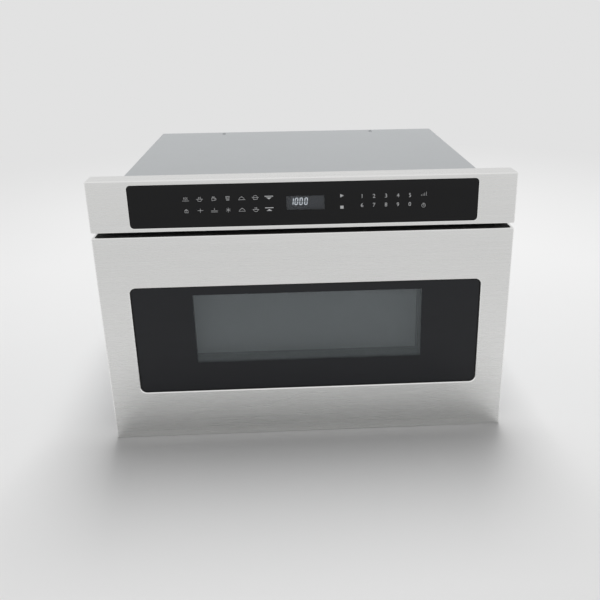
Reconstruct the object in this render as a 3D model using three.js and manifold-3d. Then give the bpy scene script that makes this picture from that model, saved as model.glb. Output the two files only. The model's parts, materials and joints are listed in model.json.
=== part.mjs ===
// A built-in microwave drawer, 24 inch class: a steel body that stands in a cabinet, a control fascia across
// the top of its front, and a motor-driven drawer on telescopic slides that carries the oven's tub.
// Millimetres. +Z is up, the front faces -Y, +X is to the right of someone facing the front.
// The origin is the centre of the base's underside.
import * as THREE from 'three';
import { mergeVertices } from 'three/addons/utils/BufferGeometryUtils.js';
import Module from 'manifold-3d';

const wasm = await Module();
wasm.setup();

// ---------------------------------------------------------------- driving dimensions

// The whole appliance
const overallWidth = 606.4;
const overallHeight = 401.6;
const overallDepth = 593.7;
const frontDepth = 40; // the front stands this far out of the cabinet's face
const frontReach = 25.2; // it reaches this far past each side of the case
const frontRise = 20.7; // this far above the case
const frontDrop = 11; // and this far below the base

// Sheets and clearances
const caseSheet = 1.2;
const skinSheet = 1.2; // stainless skins of the front
const plateSheet = 1.5; // front plate, door frame, brackets and arms
const seat = 0.3; // gap between two pieces that touch
const slideGap = 0.6; // running gap between the members of a slide
const doorGap = 1; // between the closed drawer and the front plate
const overcut = 1; // a cut runs this far past the face it starts from
const curveSteps = 4; // facets in a quarter turn of a small corner

// Case
const baseFlange = 15; // height of the base pan's turned-up edges
const rearRecess = 6; // rear panel inside the case's rear edge
const plateInset = 6; // front plate inside the front's edges
const flangeStep = 0.8; // its edge at each side is set back against the cabinet's face
const flangeClearance = 2; // and clears the case by this
const flangeScrew = { radius: 2.5, inset: 8, fromEnd: 70 };
const wiringOpening = { halfWidth: 60, clearance: 10 };
const slideClearance = { inside: 1.5, outside: 1 }; // of the slides in the front plate
const frontVents = { count: 9, length: 34, height: 3.6, pitch: 58 };
const sideVents = { count: 8, width: 5, height: 70, pitch: 12, rise: 76, fromRear: 40 };
const grille = { rows: 5, pitch: 21, hole: 15 };
const gland = { hole: 9, bore: 5, flangeRadius: 13, flange: 5, neck: 8, below: 35 };

// Control fascia
const fasciaHeight = 73.2;
const frontGap = 6.7; // the dark line between fascia and drawer front
const controlSideMargin = 55.4; // steel beside the control glass
const controlEdgeMargin = 5.7; // and above and below it
const controlCornerRadius = 5.5;
const controlFit = 0.4; // gap round the control glass in its cut-out
const controlRecess = 0.5;
const controlGlassThick = 4;
const housing = { wall: 2, depth: 26, lap: 3 }; // lap: it reaches this far past the glass
const display = { width: 53.6, height: 20.6, depth: 8, x: 1.3, rise: 37.5, fit: 1 };
const board = { thick: 1.6, sideInset: 56, edgeInset: 2 };
const boardPost = { radius: 3, insetX: 10, insetZ: 8 };
const relay = { fromLeft: 40, halfWidth: 14, halfHeight: 10, depth: 12 };
const driverChip = { fromRight: 80, halfWidth: 20, halfHeight: 16, depth: 7 };

// Window in the drawer front
const windowSideMargin = 43.8; // steel beside the window
const windowTopMargin = 75.6; // steel above it
const windowRise = 76.8; // steel below it
const windowCornerRadius = 9;
const windowFlange = 2.5; // the window's edges are turned in this far
const windowGlassLap = 12; // the glass reaches this far behind the steel
const windowGlassThick = 4;
const viewSideMargin = 88.4; // black glass beside the part that can be looked through
const viewTopMargin = 14.5; // above it
const viewRise = 47.4; // and below it
const surroundWall = 3;
const screenLap = 5; // the screen reaches this far past the view
const screenSheet = 0.8;
const doorFrameDepth = 14;
const chokeDepth = 3; // choke cover and inner window
const chokeWidth = 19;
const chokeBand = 14; // above the oven's mouth
const chokeFit = { side: 1, below: 2, arm: 0.5 };

// Oven
const ovenLift = 6.3; // the oven's underside above the slides
const tubHeadroom = 40.3; // from the tub's rim to the cavity's ceiling
const tubSheet = 1.2;
const tubRim = 2; // the tub's top edge is turned out this far
const tubRimSheet = 1.5;
const tubCornerRadius = 6;
const tubClearance = 4; // from the tub to the cavity, below and at each side
const sideBay = 50.4; // room beside the oven
const trayThick = 5;
const trayClearance = 2;
const lampHoles = { columns: 8, rows: 5, pitch: 5.5, size: 2.4 }; // in the oven's left wall

// Slides and drive
const drawerTravel = 381;
const slideOverlap = 59; // what stays engaged in each slide beyond half of its travel
const slideHeight = 46;
const slideLift = 6.5; // lower edge of the slides above the base's underside
const slideInset = 66; // outer face of the fixed rails inside the case's side
const slideSheet = 1.5;
const outerLip = 13;
const middleLip = 8.9;
const innerBar = 5;
const slideSetback = 2.9; // front end of the fixed rails behind the cabinet's face
const bracketFoot = 22;
const armInset = 0.8; // the drawer arm is this much lower than the inner rail at each edge
const armTab = 28;
const toothModule = 2;
const pinionTeeth = 16;
const pinionWidth = 9;
const pinionOverhang = 1; // past the rack's inner face
const pinionSetback = 27; // pinion's axis behind the cabinet's face
const toothBacklash = 0.3; // taken off each flank, half on the rack and half on the pinion
const rackWidth = 11.5;
const rackHeight = 10.5; // from the tips of its teeth to its back
const rackDrop = 0.8; // its back below the arm's upper edge
const rackAddendum = 1.8;
const driveShaft = { radius: 4, length: 14 };
const gearbox = { x: 34, y: 44, z: 44, foot: 12, footSheet: 2 };
const driveMotor = { radius: 17, length: 60, endRadius: 6, end: 5 };

// Microwave parts above the oven
const roofClearance = 9.4; // from the magnetron's filter box to the case's top
const waveguideHeight = 32;
const guideHalfWidth = 45;
const guideLength = 170; // from the stirrer's axis to the magnetron's
const guideEnd = 40; // past the magnetron's axis
const domeHalf = 80;
const domeLap = 12; // the dome stands this far outside the hole in the oven's roof
const coverLap = 5;
const coverSheet = 1.5;
const stirrer = { radius: 58, hub: 12, hubHeight: 6, blades: 4 };
const stirrerBlade = { width: 26, sheet: 1.2, tilt: 0.25, lap: 4 };
const stirrerLift = { hub: 12, blade: 16 }; // above the oven's roof
const stirrerShaft = { radius: 2.5, rise: 8, hole: 4 };
const stirrerMotor = { radius: 25, height: 20, earReach: 38, earHalf: 8, earSheet: 1.5 };
const yoke = { halfWidth: 46, halfDepth: 33, height: 58, sheet: 2 };
const filterBox = { halfWidth: 30, halfDepth: 20, height: 16 };
const anode = { radius: 19, fins: 6, finHalfDepth: 30, finSheet: 1, firstFin: 7, finPitch: 8 };
const antenna = { radius: 7.5, hole: 10, clearance: 6 };
const thermostat = { radius: 9, height: 9, fromSide: 75, behind: 100, earReach: 16, earHalf: 6, earSheet: 1 };
const lamp = { fromWall: 22, ahead: 33, drop: 40, halfDepth: 18 };
const lampSocket = { radius: 13, cap: 9, lift: 16, top: 30, shelfReach: 14, plateRise: 16 };
const bulb = { radius: 12, drop: 8 };

// Power supply behind the oven
const bayClearance = 12.8; // before and behind the transformer
const core = { x: 104, y: 64, z: 88, leg: 32, window: 18, yoke: 16, foot: 3, footReach: 14 };
const coilCorner = 8;
const transformerClearance = 28.2; // from its foot to the rack
const capacitor = { width: 54, depth: 34, height: 96, clearance: 12 };
const capacitorTab = { offset: 11, halfWidth: 3, halfSheet: 0.6, height: 12 };
const strap = { middle: 40, halfHeight: 8, footReach: 16, legFit: 0.2 };
const diode = { radius: 4, length: 24, clearance: 10, lift: 5 };
const diodeLug = { reach: 10, lap: 4, halfWidth: 6, sheet: 1.5 };
const filter = { width: 90, height: 60, fromSide: 26.5, fromTop: 23.7, standoff: 6 };
const filterPost = { radius: 3, inset: 6 };
const filterChoke = { radius: 16, at: 25, height: 18 };
const filterCapacitor = { at: 66, halfWidth: 14, halfHeight: 15, height: 14 };

// Cooling fan
const fan = { radius: 61, wall: 5, depth: 32, fromSide: 40, rise: 46, hub: 16, blades: 5, tipGap: 2 };
const fanBlade = { sheet: 2, chord: 26, tilt: 0.6 };
const fanStrut = { depth: 4, halfWidth: 6, ring: 18, lap: 2 };
const fanHubGap = { front: 1, rear: 3 };
const fanShaft = { radius: 2.5, length: 12 };
const fanMotor = { halfWidth: 26, halfHeight: 32, lift: 8, depth: 26, coil: 20, coilLift: 28, coilReach: 8 };

// Door switches and latch hooks
const hookHeight = 200;
const hookReach = 24;
const hook = { halfWidth: 3, halfHeight: 8, clearance: 3.8, footWidth: 20, footSheet: 2.5, footLap: 6 };
const hookOpening = 3; // room round a hook in the front plate
const switchSize = { x: 10, y: 26, z: 15, setback: 4, fromHook: 3 };
const plunger = { halfWidth: 1.5, halfDepth: 2, setback: 9 };
const switchBracket = { lap: 6, foot: 12 };

// ---------------------------------------------------------------- planes and levels worked out from them

const bodyWidth = overallWidth - 2 * frontReach;
const bodyHeight = overallHeight - frontDrop - frontRise;
const bodyDepth = overallDepth - frontDepth;
const cabinetY = -bodyDepth / 2;
const rearY = bodyDepth / 2;
const frontY = cabinetY - frontDepth;
const halfFront = overallWidth / 2;
const halfBody = bodyWidth / 2;

const frontBottom = -frontDrop;
const frontTop = frontBottom + overallHeight;
const fasciaBottom = frontTop - fasciaHeight;
const drawerTop = fasciaBottom - frontGap;

const plateBackY = cabinetY - flangeStep;
const plateFrontY = plateBackY - plateSheet;
const caseFrontY = plateBackY + seat;
const doorBackY = plateFrontY - doorGap;
const frameBackY = doorBackY - chokeDepth - seat;
const framePlateY = frameBackY - plateSheet;
const rearPanelY = rearY - rearRecess - caseSheet;

const innerHalfBody = halfBody - caseSheet - seat;
const caseCeiling = bodyHeight - caseSheet;
const baseTop = caseSheet;
const partsFloor = baseTop + seat;

// Slides and rack
const slideOffset = halfBody - slideInset;
const slideLength = drawerTravel + slideOverlap;
const slideY = [cabinetY + slideSetback, cabinetY + slideSetback + slideLength];
const slideZ = [slideLift, slideLift + slideHeight];
const middleRailZ = grown(slideZ, -slideSheet - slideGap);
const innerRailZ = grown(middleRailZ, -slideSheet - slideGap);
const middleRailOuterX = slideOffset - slideSheet - slideGap;
const innerRailOuterX = middleRailOuterX - slideSheet - slideGap;
const armX = innerRailOuterX - innerBar - seat;
const armInnerX = armX - plateSheet;
const armZ = grown(innerRailZ, -armInset);
const rackX = [armInnerX - seat - rackWidth, armInnerX - seat];
const rackBack = armZ[1] - rackDrop;
const pitchRadius = (toothModule * pinionTeeth) / 2;
const toothPitch = Math.PI * toothModule;
const pressureAngle = THREE.MathUtils.degToRad(20);
const pitchLine = rackBack - rackHeight + rackAddendum;
const pinionY = cabinetY + pinionSetback;
const pinionAxisHeight = pitchLine - pitchRadius;
const pinionX = [rackX[0] - pinionOverhang, rackX[0] - pinionOverhang + pinionWidth];

// Oven: its room is what the case leaves between the slides, the transformer's bay and the magnetron's
const coilReach = core.window - 2 * seat;
const rearBay = core.y + 2 * (seat + coilReach + bayClearance);
const roofBay = seat + waveguideHeight + seat + yoke.height + filterBox.height + roofClearance;
const cavityUnderside = slideZ[1] + ovenLift;
const cavityFloor = cavityUnderside + caseSheet;
const cavityRoof = caseCeiling - roofBay;
const cavityCeiling = cavityRoof - caseSheet;
const halfCavity = halfBody - caseSheet - sideBay - caseSheet;
const cavityRearY = rearPanelY - rearBay - caseSheet;
const halfTub = halfCavity - tubClearance;
const tubFrontY = frameBackY + seat;
const tubRearY = cavityRearY - tubClearance;
const tubBottom = cavityFloor + tubClearance;
const tubTop = cavityCeiling - tubHeadroom;
const trayBottom = tubBottom + tubSheet + seat;

// Microwave parts above the oven
const stirrerY = (caseFrontY + cavityRearY) / 2;
const magnetronY = stirrerY + guideLength;
const roofHoleHalf = domeHalf - domeLap;
const waveguideBottom = cavityRoof + seat;
const waveguideTop = waveguideBottom + waveguideHeight;
const stirrerShaftZ = [cavityRoof + stirrerLift.hub, waveguideTop + stirrerShaft.rise];
const yokeZ = [waveguideTop + seat, waveguideTop + seat + yoke.height];

// Window
const windowX = span(0, halfFront - windowSideMargin);
const windowZ = [frontBottom + windowRise, drawerTop - windowTopMargin];
const windowGlassX = grown(windowX, windowGlassLap);
const windowGlassZ = grown(windowZ, windowGlassLap);
const windowGlassY = frontY + windowFlange + seat;
const windowGlassBackY = windowGlassY + windowGlassThick;
const viewX = grown(windowX, -viewSideMargin);
const viewZ = [windowZ[0] + viewRise, windowZ[1] - viewTopMargin];
const screenX = grown(viewX, screenLap);
const screenZ = grown(viewZ, screenLap);
const screenBackY = framePlateY - seat;
const screenFrontY = screenBackY - screenSheet;
const chokeMouthX = span(0, halfTub + tubRim + chokeFit.side);
const chokeX = grown(chokeMouthX, chokeWidth);

// Controls
const controlMiddle = fasciaBottom + fasciaHeight / 2;
const controlCutX = span(0, halfFront - controlSideMargin);
const controlCutZ = grown([fasciaBottom, frontTop], -controlEdgeMargin);
const controlGlassY = frontY + controlRecess;
const housingY = controlGlassY + controlGlassThick + seat;
const displayX = span(display.x, display.width / 2);
const displayZ = span(fasciaBottom + display.rise, display.height / 2);
const boardY = housingY + display.depth + seat;
const boardX = grown(controlCutX, -board.sideInset);
const boardZ = grown(controlCutZ, -board.edgeInset);

// Latch hooks
const hookOffset = chokeX[1] + hook.clearance + hook.halfWidth;
const hookZ = span(hookHeight, hook.halfHeight);

// Rear bay
const transformerAt = {
  x: rackX[0] - transformerClearance - core.footReach - core.x / 2,
  y: rearPanelY - rearBay / 2,
};
const filterX = [-innerHalfBody + filter.fromSide, -innerHalfBody + filter.fromSide + filter.width];
const filterZ = [caseCeiling - filter.fromTop - filter.height, caseCeiling - filter.fromTop];
const glandAt = { x: (filterX[0] + filterX[1]) / 2, z: filterZ[0] - gland.below };
const fanHalf = fan.radius + fan.wall;
const fanCentre = { x: -(halfBody - fan.fromSide - fanHalf), z: fan.rise + fanHalf };
const fanY = [rearPanelY - seat - fan.depth, rearPanelY - seat];

// ---------------------------------------------------------------- intervals

function span(middle, half) {
  return [middle - half, middle + half];
}

function grown([low, high], by) {
  return [low - by, high + by];
}

// An interval on the right (side 1) or, mirrored, on the left (side -1)
function onSide(side, near, far) {
  return side > 0 ? [near, far] : [-far, -near];
}

// ---------------------------------------------------------------- solids

function solidFrom(geometry) {
  const bare = geometry.index ? geometry.toNonIndexed() : geometry;
  bare.deleteAttribute('normal');
  bare.deleteAttribute('uv');
  const merged = mergeVertices(bare, 1e-4);
  return new wasm.Manifold(
    new wasm.Mesh({
      numProp: 3,
      vertProperties: merged.attributes.position.array,
      triVerts: new Uint32Array(merged.index.array),
    }),
  );
}

function geometryOf(solid) {
  const mesh = solid.getMesh();
  const geometry = new THREE.BufferGeometry();
  geometry.setAttribute('position', new THREE.BufferAttribute(mesh.vertProperties, 3));
  geometry.setIndex(new THREE.BufferAttribute(mesh.triVerts, 1));
  return geometry;
}

function join(first, ...others) {
  return others.reduce((whole, other) => whole.add(other), first);
}

function cut(first, ...others) {
  return others.reduce((rest, other) => rest.subtract(other), first);
}

function block([x0, x1], [y0, y1], [z0, z1]) {
  const geometry = new THREE.BoxGeometry(x1 - x0, y1 - y0, z1 - z0);
  geometry.translate((x0 + x1) / 2, (y0 + y1) / 2, (z0 + z1) / 2);
  return solidFrom(geometry);
}

// Each direction of extrusion, with the directions that the outline's own x and y take
const directions = {
  x: [new THREE.Vector3(0, 1, 0), new THREE.Vector3(0, 0, 1), new THREE.Vector3(1, 0, 0)],
  y: [new THREE.Vector3(-1, 0, 0), new THREE.Vector3(0, 0, 1), new THREE.Vector3(0, 1, 0)],
  z: [new THREE.Vector3(1, 0, 0), new THREE.Vector3(0, 1, 0), new THREE.Vector3(0, 0, 1)],
};

function extruded(outline, direction, [start, end], steps = curveSteps) {
  const geometry = new THREE.ExtrudeGeometry(outline, {
    depth: end - start,
    bevelEnabled: false,
    curveSegments: steps,
  });
  geometry.translate(0, 0, start);
  geometry.applyMatrix4(new THREE.Matrix4().makeBasis(...directions[direction]));
  return solidFrom(geometry);
}

function roundedOutline([x0, x1], [y0, y1], radius) {
  const outline = new THREE.Shape();
  outline.moveTo(x0 + radius, y0);
  outline.absarc(x1 - radius, y0 + radius, radius, -Math.PI / 2, 0);
  outline.absarc(x1 - radius, y1 - radius, radius, 0, Math.PI / 2);
  outline.absarc(x0 + radius, y1 - radius, radius, Math.PI / 2, Math.PI);
  outline.absarc(x0 + radius, y0 + radius, radius, Math.PI, Math.PI * 1.5);
  return outline;
}

// A rounded slab that faces the front, over x and z, from one y to another
function frontSlab(x, z, y, radius) {
  return extruded(roundedOutline([-x[1], -x[0]], z, radius), 'y', y);
}

function cylinder(direction, centre, radius, [start, end], segments = 24) {
  const geometry = new THREE.CylinderGeometry(radius, radius, end - start, segments);
  const middle = (start + end) / 2;
  if (direction === 'x') geometry.rotateZ(-Math.PI / 2).translate(middle, centre.y, centre.z);
  if (direction === 'y') geometry.translate(centre.x, middle, centre.z);
  if (direction === 'z') geometry.rotateX(Math.PI / 2).translate(centre.x, centre.y, middle);
  return solidFrom(geometry);
}

// An open pan: a block with a smaller block taken out through one of its faces
function pan([x, y, z], inner) {
  return cut(block(x, y, z), block(...inner));
}

// ---------------------------------------------------------------- materials

const finish = (color, roughness, metalness) => ({ color, roughness, metalness });
const materials = {
  stainless: finish(0xc4c6c8, 0.35, 0.9),
  galvanised: finish(0xa9adb0, 0.55, 0.8),
  enamel: finish(0xb9b8b2, 0.4, 0.1),
  blackGlass: finish(0x18191b, 0.08, 0.0),
  clearGlass: finish(0x9fb0b4, 0.05, 0.0),
  screen: finish(0x6a7072, 0.6, 0.4),
  blackPlastic: finish(0x1d1e1f, 0.6, 0.0),
  greyPlastic: finish(0x5c5f61, 0.6, 0.0),
  whitePlastic: finish(0xd8d8d4, 0.5, 0.0),
  ceramic: finish(0xe6e4dc, 0.25, 0.0),
  copper: finish(0xa8673c, 0.4, 0.7),
  laminations: finish(0x55585c, 0.6, 0.6),
  aluminium: finish(0xc9ccce, 0.4, 0.9),
  circuitBoard: finish(0x3a6b46, 0.7, 0.0),
  mica: finish(0xb59a72, 0.7, 0.0),
  display: finish(0x394450, 0.2, 0.0),
};

const microwaveDrawer = new THREE.Group();

function add(name, solid, material) {
  const mesh = new THREE.Mesh(geometryOf(solid), new THREE.MeshStandardMaterial(materials[material]));
  mesh.name = name;
  microwaveDrawer.add(mesh);
}

// ---------------------------------------------------------------- case

function makeBasePan() {
  const x = span(0, innerHalfBody);
  const y = [caseFrontY, rearY];
  const inner = [grown(x, -caseSheet), grown(y, overcut), [baseTop, baseFlange + overcut]];
  return pan([x, y, [0, baseFlange]], inner);
}

function makeOuterCase() {
  const x = span(0, halfBody);
  const y = [caseFrontY, rearY];
  const inner = [grown(x, -caseSheet), grown(y, overcut), [-overcut, caseCeiling]];
  const slots = [];
  const lastY = rearY - sideVents.fromRear;
  const slotZ = [sideVents.rise, sideVents.rise + sideVents.height];
  for (let i = 0; i < sideVents.count; i++) {
    const slotY = span(lastY - i * sideVents.pitch, sideVents.width / 2);
    slots.push(block(grown(x, overcut), slotY, slotZ));
  }
  return cut(pan([x, y, [0, bodyHeight]], inner), ...slots);
}

function makeRearPanel() {
  const x = span(0, innerHalfBody - caseSheet - seat);
  const y = [rearPanelY, rearPanelY + caseSheet];
  const z = [baseTop + seat, caseCeiling - seat];
  const holes = [cylinder('y', glandAt, gland.hole, grown(y, overcut))];
  for (let row = 0; row < grille.rows; row++) {
    for (let column = 0; column < grille.rows; column++) {
      const atX = fanCentre.x + (column - (grille.rows - 1) / 2) * grille.pitch;
      const atZ = fanCentre.z + (row - (grille.rows - 1) / 2) * grille.pitch;
      holes.push(block(span(atX, grille.hole / 2), grown(y, overcut), span(atZ, grille.hole / 2)));
    }
  }
  return cut(block(x, y, z), ...holes);
}

function makeCordGland() {
  const start = rearPanelY + caseSheet + seat;
  const y = [start, start + gland.flange];
  const neck = [rearPanelY - gland.neck, y[1]];
  const body = join(
    cylinder('y', glandAt, gland.flangeRadius, y),
    cylinder('y', glandAt, gland.hole - seat, neck),
  );
  return cut(body, cylinder('y', glandAt, gland.bore, grown(neck, overcut)));
}

// The steel plate behind the whole front: it holds the oven's mouth, and its edge at each side is the flange
// that is screwed to the cabinet
function makeFrontPlate() {
  const z = [frontBottom + plateInset, frontTop - plateInset];
  const edgeX = halfFront - plateInset;
  const flangeX = halfBody + flangeClearance;
  const through = [plateFrontY - overcut, cabinetY + overcut];
  const parts = [block(span(0, flangeX + plateSheet), [plateFrontY, plateBackY], z)];
  const openings = [
    block(span(0, halfCavity), through, [cavityFloor, cavityCeiling]),
    block(
      span(0, wiringOpening.halfWidth),
      through,
      [fasciaBottom + wiringOpening.clearance, caseCeiling - wiringOpening.clearance],
    ),
  ];
  const slideOpeningZ = grown(slideZ, -slideSheet);
  for (const side of [-1, 1]) {
    parts.push(block(onSide(side, flangeX, edgeX), [cabinetY - plateSheet, cabinetY], z));
    const slideNear = rackX[0] - slideClearance.inside;
    const slideFar = middleRailOuterX + slideClearance.outside;
    openings.push(block(onSide(side, slideNear, slideFar), through, slideOpeningZ));
    const hookHalf = hook.halfWidth + hookOpening;
    const hookX = onSide(side, hookOffset - hookHalf, hookOffset + hookHalf);
    openings.push(block(hookX, through, grown(hookZ, hookOpening)));
    for (const screwZ of [frontBottom + flangeScrew.fromEnd, frontTop - flangeScrew.fromEnd]) {
      const hole = { x: side * (edgeX - flangeScrew.inset), z: screwZ };
      openings.push(cylinder('y', hole, flangeScrew.radius, through, 12));
    }
  }
  const ventZ = span(drawerTop + frontGap / 2, frontVents.height / 2);
  for (let i = 0; i < frontVents.count; i++) {
    const middle = (i - (frontVents.count - 1) / 2) * frontVents.pitch;
    openings.push(block(span(middle, frontVents.length / 2), through, ventZ));
  }
  return cut(join(...parts), ...openings);
}

add('base_pan', makeBasePan(), 'galvanised');
add('outer_case', makeOuterCase(), 'galvanised');
add('rear_panel', makeRearPanel(), 'galvanised');
add('cord_gland', makeCordGland(), 'blackPlastic');
add('front_plate', makeFrontPlate(), 'galvanised');

// ---------------------------------------------------------------- controls

function makeControlFascia() {
  const x = span(0, halfFront);
  const z = [fasciaBottom, frontTop];
  const shell = pan(
    [x, [frontY, plateFrontY - seat], z],
    [grown(x, -skinSheet), [frontY + skinSheet, cabinetY], grown(z, -skinSheet)],
  );
  const through = [frontY - overcut, frontY + skinSheet + overcut];
  return cut(shell, frontSlab(controlCutX, controlCutZ, through, controlCornerRadius));
}

function makeControlGlass() {
  return frontSlab(
    grown(controlCutX, -controlFit),
    grown(controlCutZ, -controlFit),
    [controlGlassY, controlGlassY + controlGlassThick],
    controlCornerRadius - controlFit,
  );
}

// The black moulding that carries the control glass, the display and the board
function makeControlHousing() {
  const x = grown(controlCutX, housing.lap);
  const z = grown(controlCutZ, housing.lap);
  const y = [housingY, housingY + housing.depth];
  const inner = [grown(x, -housing.wall), [y[0] + housing.wall, y[1] + overcut], grown(z, -housing.wall)];
  const tray = pan([x, y, z], inner);
  const opening = block(grown(displayX, display.fit), grown(y, overcut), grown(displayZ, display.fit));
  const posts = [];
  for (const postX of grown(boardX, -boardPost.insetX)) {
    for (const postZ of grown(boardZ, -boardPost.insetZ)) {
      const post = { x: postX, z: postZ };
      posts.push(cylinder('y', post, boardPost.radius, [y[0] + housing.wall / 2, boardY - seat], 12));
    }
  }
  return join(cut(tray, opening), ...posts);
}

function makeControlBoard() {
  const y = [boardY, boardY + board.thick];
  const part = (atX, { halfWidth, halfHeight, depth }) => {
    return block(span(atX, halfWidth), [boardY, y[1] + depth], span(controlMiddle, halfHeight));
  };
  return join(
    block(boardX, y, boardZ),
    part(boardX[0] + relay.fromLeft, relay),
    part(boardX[1] - driverChip.fromRight, driverChip),
  );
}

add('control_fascia', makeControlFascia(), 'stainless');
add('control_glass', makeControlGlass(), 'blackGlass');
add('control_housing', makeControlHousing(), 'blackPlastic');
add('control_board', makeControlBoard(), 'circuitBoard');
add('display_module', block(displayX, [housingY, boardY - seat], displayZ), 'display');

// ---------------------------------------------------------------- oven cavity and microwave parts

const cavitySideX = halfCavity + caseSheet;
const lampAt = {
  x: -(cavitySideX + lamp.fromWall),
  y: stirrerY - lamp.ahead,
  z: cavityCeiling - lamp.drop,
};

function makeCavityShell() {
  const x = span(0, cavitySideX);
  const y = [caseFrontY, cavityRearY + caseSheet];
  const z = [cavityUnderside, cavityRoof];
  const inner = [span(0, halfCavity), [y[0] - overcut, cavityRearY], [cavityFloor, cavityCeiling]];
  const roofHole = block(
    span(0, roofHoleHalf),
    span(stirrerY, roofHoleHalf),
    [cavityCeiling - overcut, cavityRoof + overcut],
  );
  const holes = [];
  const holeX = onSide(-1, halfCavity - overcut, cavitySideX + overcut);
  for (let i = 0; i < lampHoles.columns; i++) {
    const y = lampAt.y + (i - (lampHoles.columns - 1) / 2) * lampHoles.pitch;
    for (let j = 0; j < lampHoles.rows; j++) {
      const z = lampAt.z + (j - (lampHoles.rows - 1) / 2) * lampHoles.pitch;
      holes.push(block(holeX, span(y, lampHoles.size / 2), span(z, lampHoles.size / 2)));
    }
  }
  return cut(pan([x, y, z], inner), roofHole, ...holes);
}

function makeStirrerCover() {
  const half = roofHoleHalf + coverLap;
  const z = [cavityRoof + seat, cavityRoof + seat + coverSheet];
  return block(span(0, half), span(stirrerY, half), z);
}

// Turning metal blades that spread the microwaves, below the waveguide's roof
function makeStirrerFan() {
  const at = { x: 0, y: stirrerY };
  const root = stirrer.hub - stirrerBlade.lap;
  const length = stirrer.radius - root;
  const hubZ = [stirrerShaftZ[0], stirrerShaftZ[0] + stirrer.hubHeight];
  const parts = [
    cylinder('z', at, stirrerShaft.radius, stirrerShaftZ, 12),
    cylinder('z', at, stirrer.hub, hubZ, 16),
  ];
  for (let i = 0; i < stirrer.blades; i++) {
    const blade = new THREE.BoxGeometry(length, stirrerBlade.width, stirrerBlade.sheet);
    blade.rotateX(stirrerBlade.tilt);
    blade.translate(root + length / 2, 0, cavityRoof + stirrerLift.blade);
    blade.rotateZ((i * 2 * Math.PI) / stirrer.blades);
    blade.translate(at.x, at.y, 0);
    parts.push(solidFrom(blade));
  }
  return join(...parts);
}

function makeStirrerMotor() {
  const at = { x: 0, y: stirrerY };
  const bottom = waveguideTop + seat;
  const bore = stirrerShaft.radius + seat;
  const body = join(
    cylinder('z', at, stirrerMotor.radius, [bottom, bottom + stirrerMotor.height]),
    block(
      span(0, stirrerMotor.earReach),
      span(stirrerY, stirrerMotor.earHalf),
      [bottom, bottom + stirrerMotor.earSheet],
    ),
  );
  return cut(body, cylinder('z', at, bore, [bottom - overcut, stirrerShaftZ[1] + seat], 12));
}

function makeWaveguide() {
  const z = [waveguideBottom, waveguideTop];
  const domeX = span(0, domeHalf);
  const domeY = span(stirrerY, domeHalf);
  const guideX = span(0, guideHalfWidth);
  const guideY = [stirrerY, magnetronY + guideEnd];
  const innerZ = [z[0] - overcut, z[1] - caseSheet];
  const outside = join(block(domeX, domeY, z), block(guideX, guideY, z));
  const inside = join(
    block(grown(domeX, -caseSheet), grown(domeY, -caseSheet), innerZ),
    block(grown(guideX, -caseSheet), [guideY[0], guideY[1] - caseSheet], innerZ),
  );
  const holeZ = [innerZ[1] - overcut, z[1] + overcut];
  return cut(
    outside,
    inside,
    cylinder('z', { x: 0, y: stirrerY }, stirrerShaft.hole, holeZ, 12),
    cylinder('z', { x: 0, y: magnetronY }, antenna.hole, holeZ),
  );
}

// Steel frame round the magnetron, open to the front and rear for the air, with the filter box on top
function makeMagnetronYoke() {
  const x = span(0, yoke.halfWidth);
  const y = span(magnetronY, yoke.halfDepth);
  const inner = [grown(x, -yoke.sheet), grown(y, overcut), grown(yokeZ, -yoke.sheet)];
  const box = block(
    span(0, filterBox.halfWidth),
    span(magnetronY, filterBox.halfDepth),
    [yokeZ[1] - yoke.sheet / 2, yokeZ[1] + filterBox.height],
  );
  const holeZ = [yokeZ[0] - overcut, yokeZ[0] + yoke.sheet + overcut];
  const hole = cylinder('z', { x: 0, y: magnetronY }, antenna.hole, holeZ);
  return cut(join(pan([x, y, yokeZ], inner), box), hole);
}

function makeMagnetronAnode() {
  const at = { x: 0, y: magnetronY };
  const z = grown(yokeZ, -yoke.sheet - seat);
  const finX = span(0, yoke.halfWidth - yoke.sheet - seat);
  const finY = span(magnetronY, anode.finHalfDepth);
  const parts = [
    cylinder('z', at, anode.radius, z),
    cylinder('z', at, antenna.radius, [waveguideBottom + antenna.clearance, z[0] + overcut], 16),
  ];
  for (let i = 0; i < anode.fins; i++) {
    const finZ = z[0] + anode.firstFin + i * anode.finPitch;
    parts.push(block(finX, finY, [finZ, finZ + anode.finSheet]));
  }
  return join(...parts);
}

function makeThermostat() {
  const at = { x: halfCavity - thermostat.fromSide, y: stirrerY + thermostat.behind };
  const z = cavityRoof + seat;
  const ear = block(
    span(at.x, thermostat.earReach),
    span(at.y, thermostat.earHalf),
    [z, z + thermostat.earSheet],
  );
  return join(cylinder('z', at, thermostat.radius, [z, z + thermostat.height]), ear);
}

// The bulb hangs in a socket on a small bracket against the holes in the cavity's left wall
function makeLampHolder() {
  const wall = onSide(-1, cavitySideX + seat, cavitySideX + seat + plateSheet);
  const socketBottom = lampAt.z + lampSocket.lift;
  const top = lampAt.z + lampSocket.top;
  const y = span(lampAt.y, lamp.halfDepth);
  const plate = block(wall, y, [socketBottom, top + lampSocket.plateRise]);
  const shelf = block([lampAt.x - lampSocket.shelfReach, wall[1]], y, [top, top + plateSheet]);
  const socket = cylinder('z', lampAt, lampSocket.radius, [socketBottom, top + plateSheet / 2]);
  const bore = cylinder('z', lampAt, lampSocket.cap, [socketBottom - overcut, top - plateSheet]);
  return join(plate, cut(join(socket, shelf), bore));
}

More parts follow.
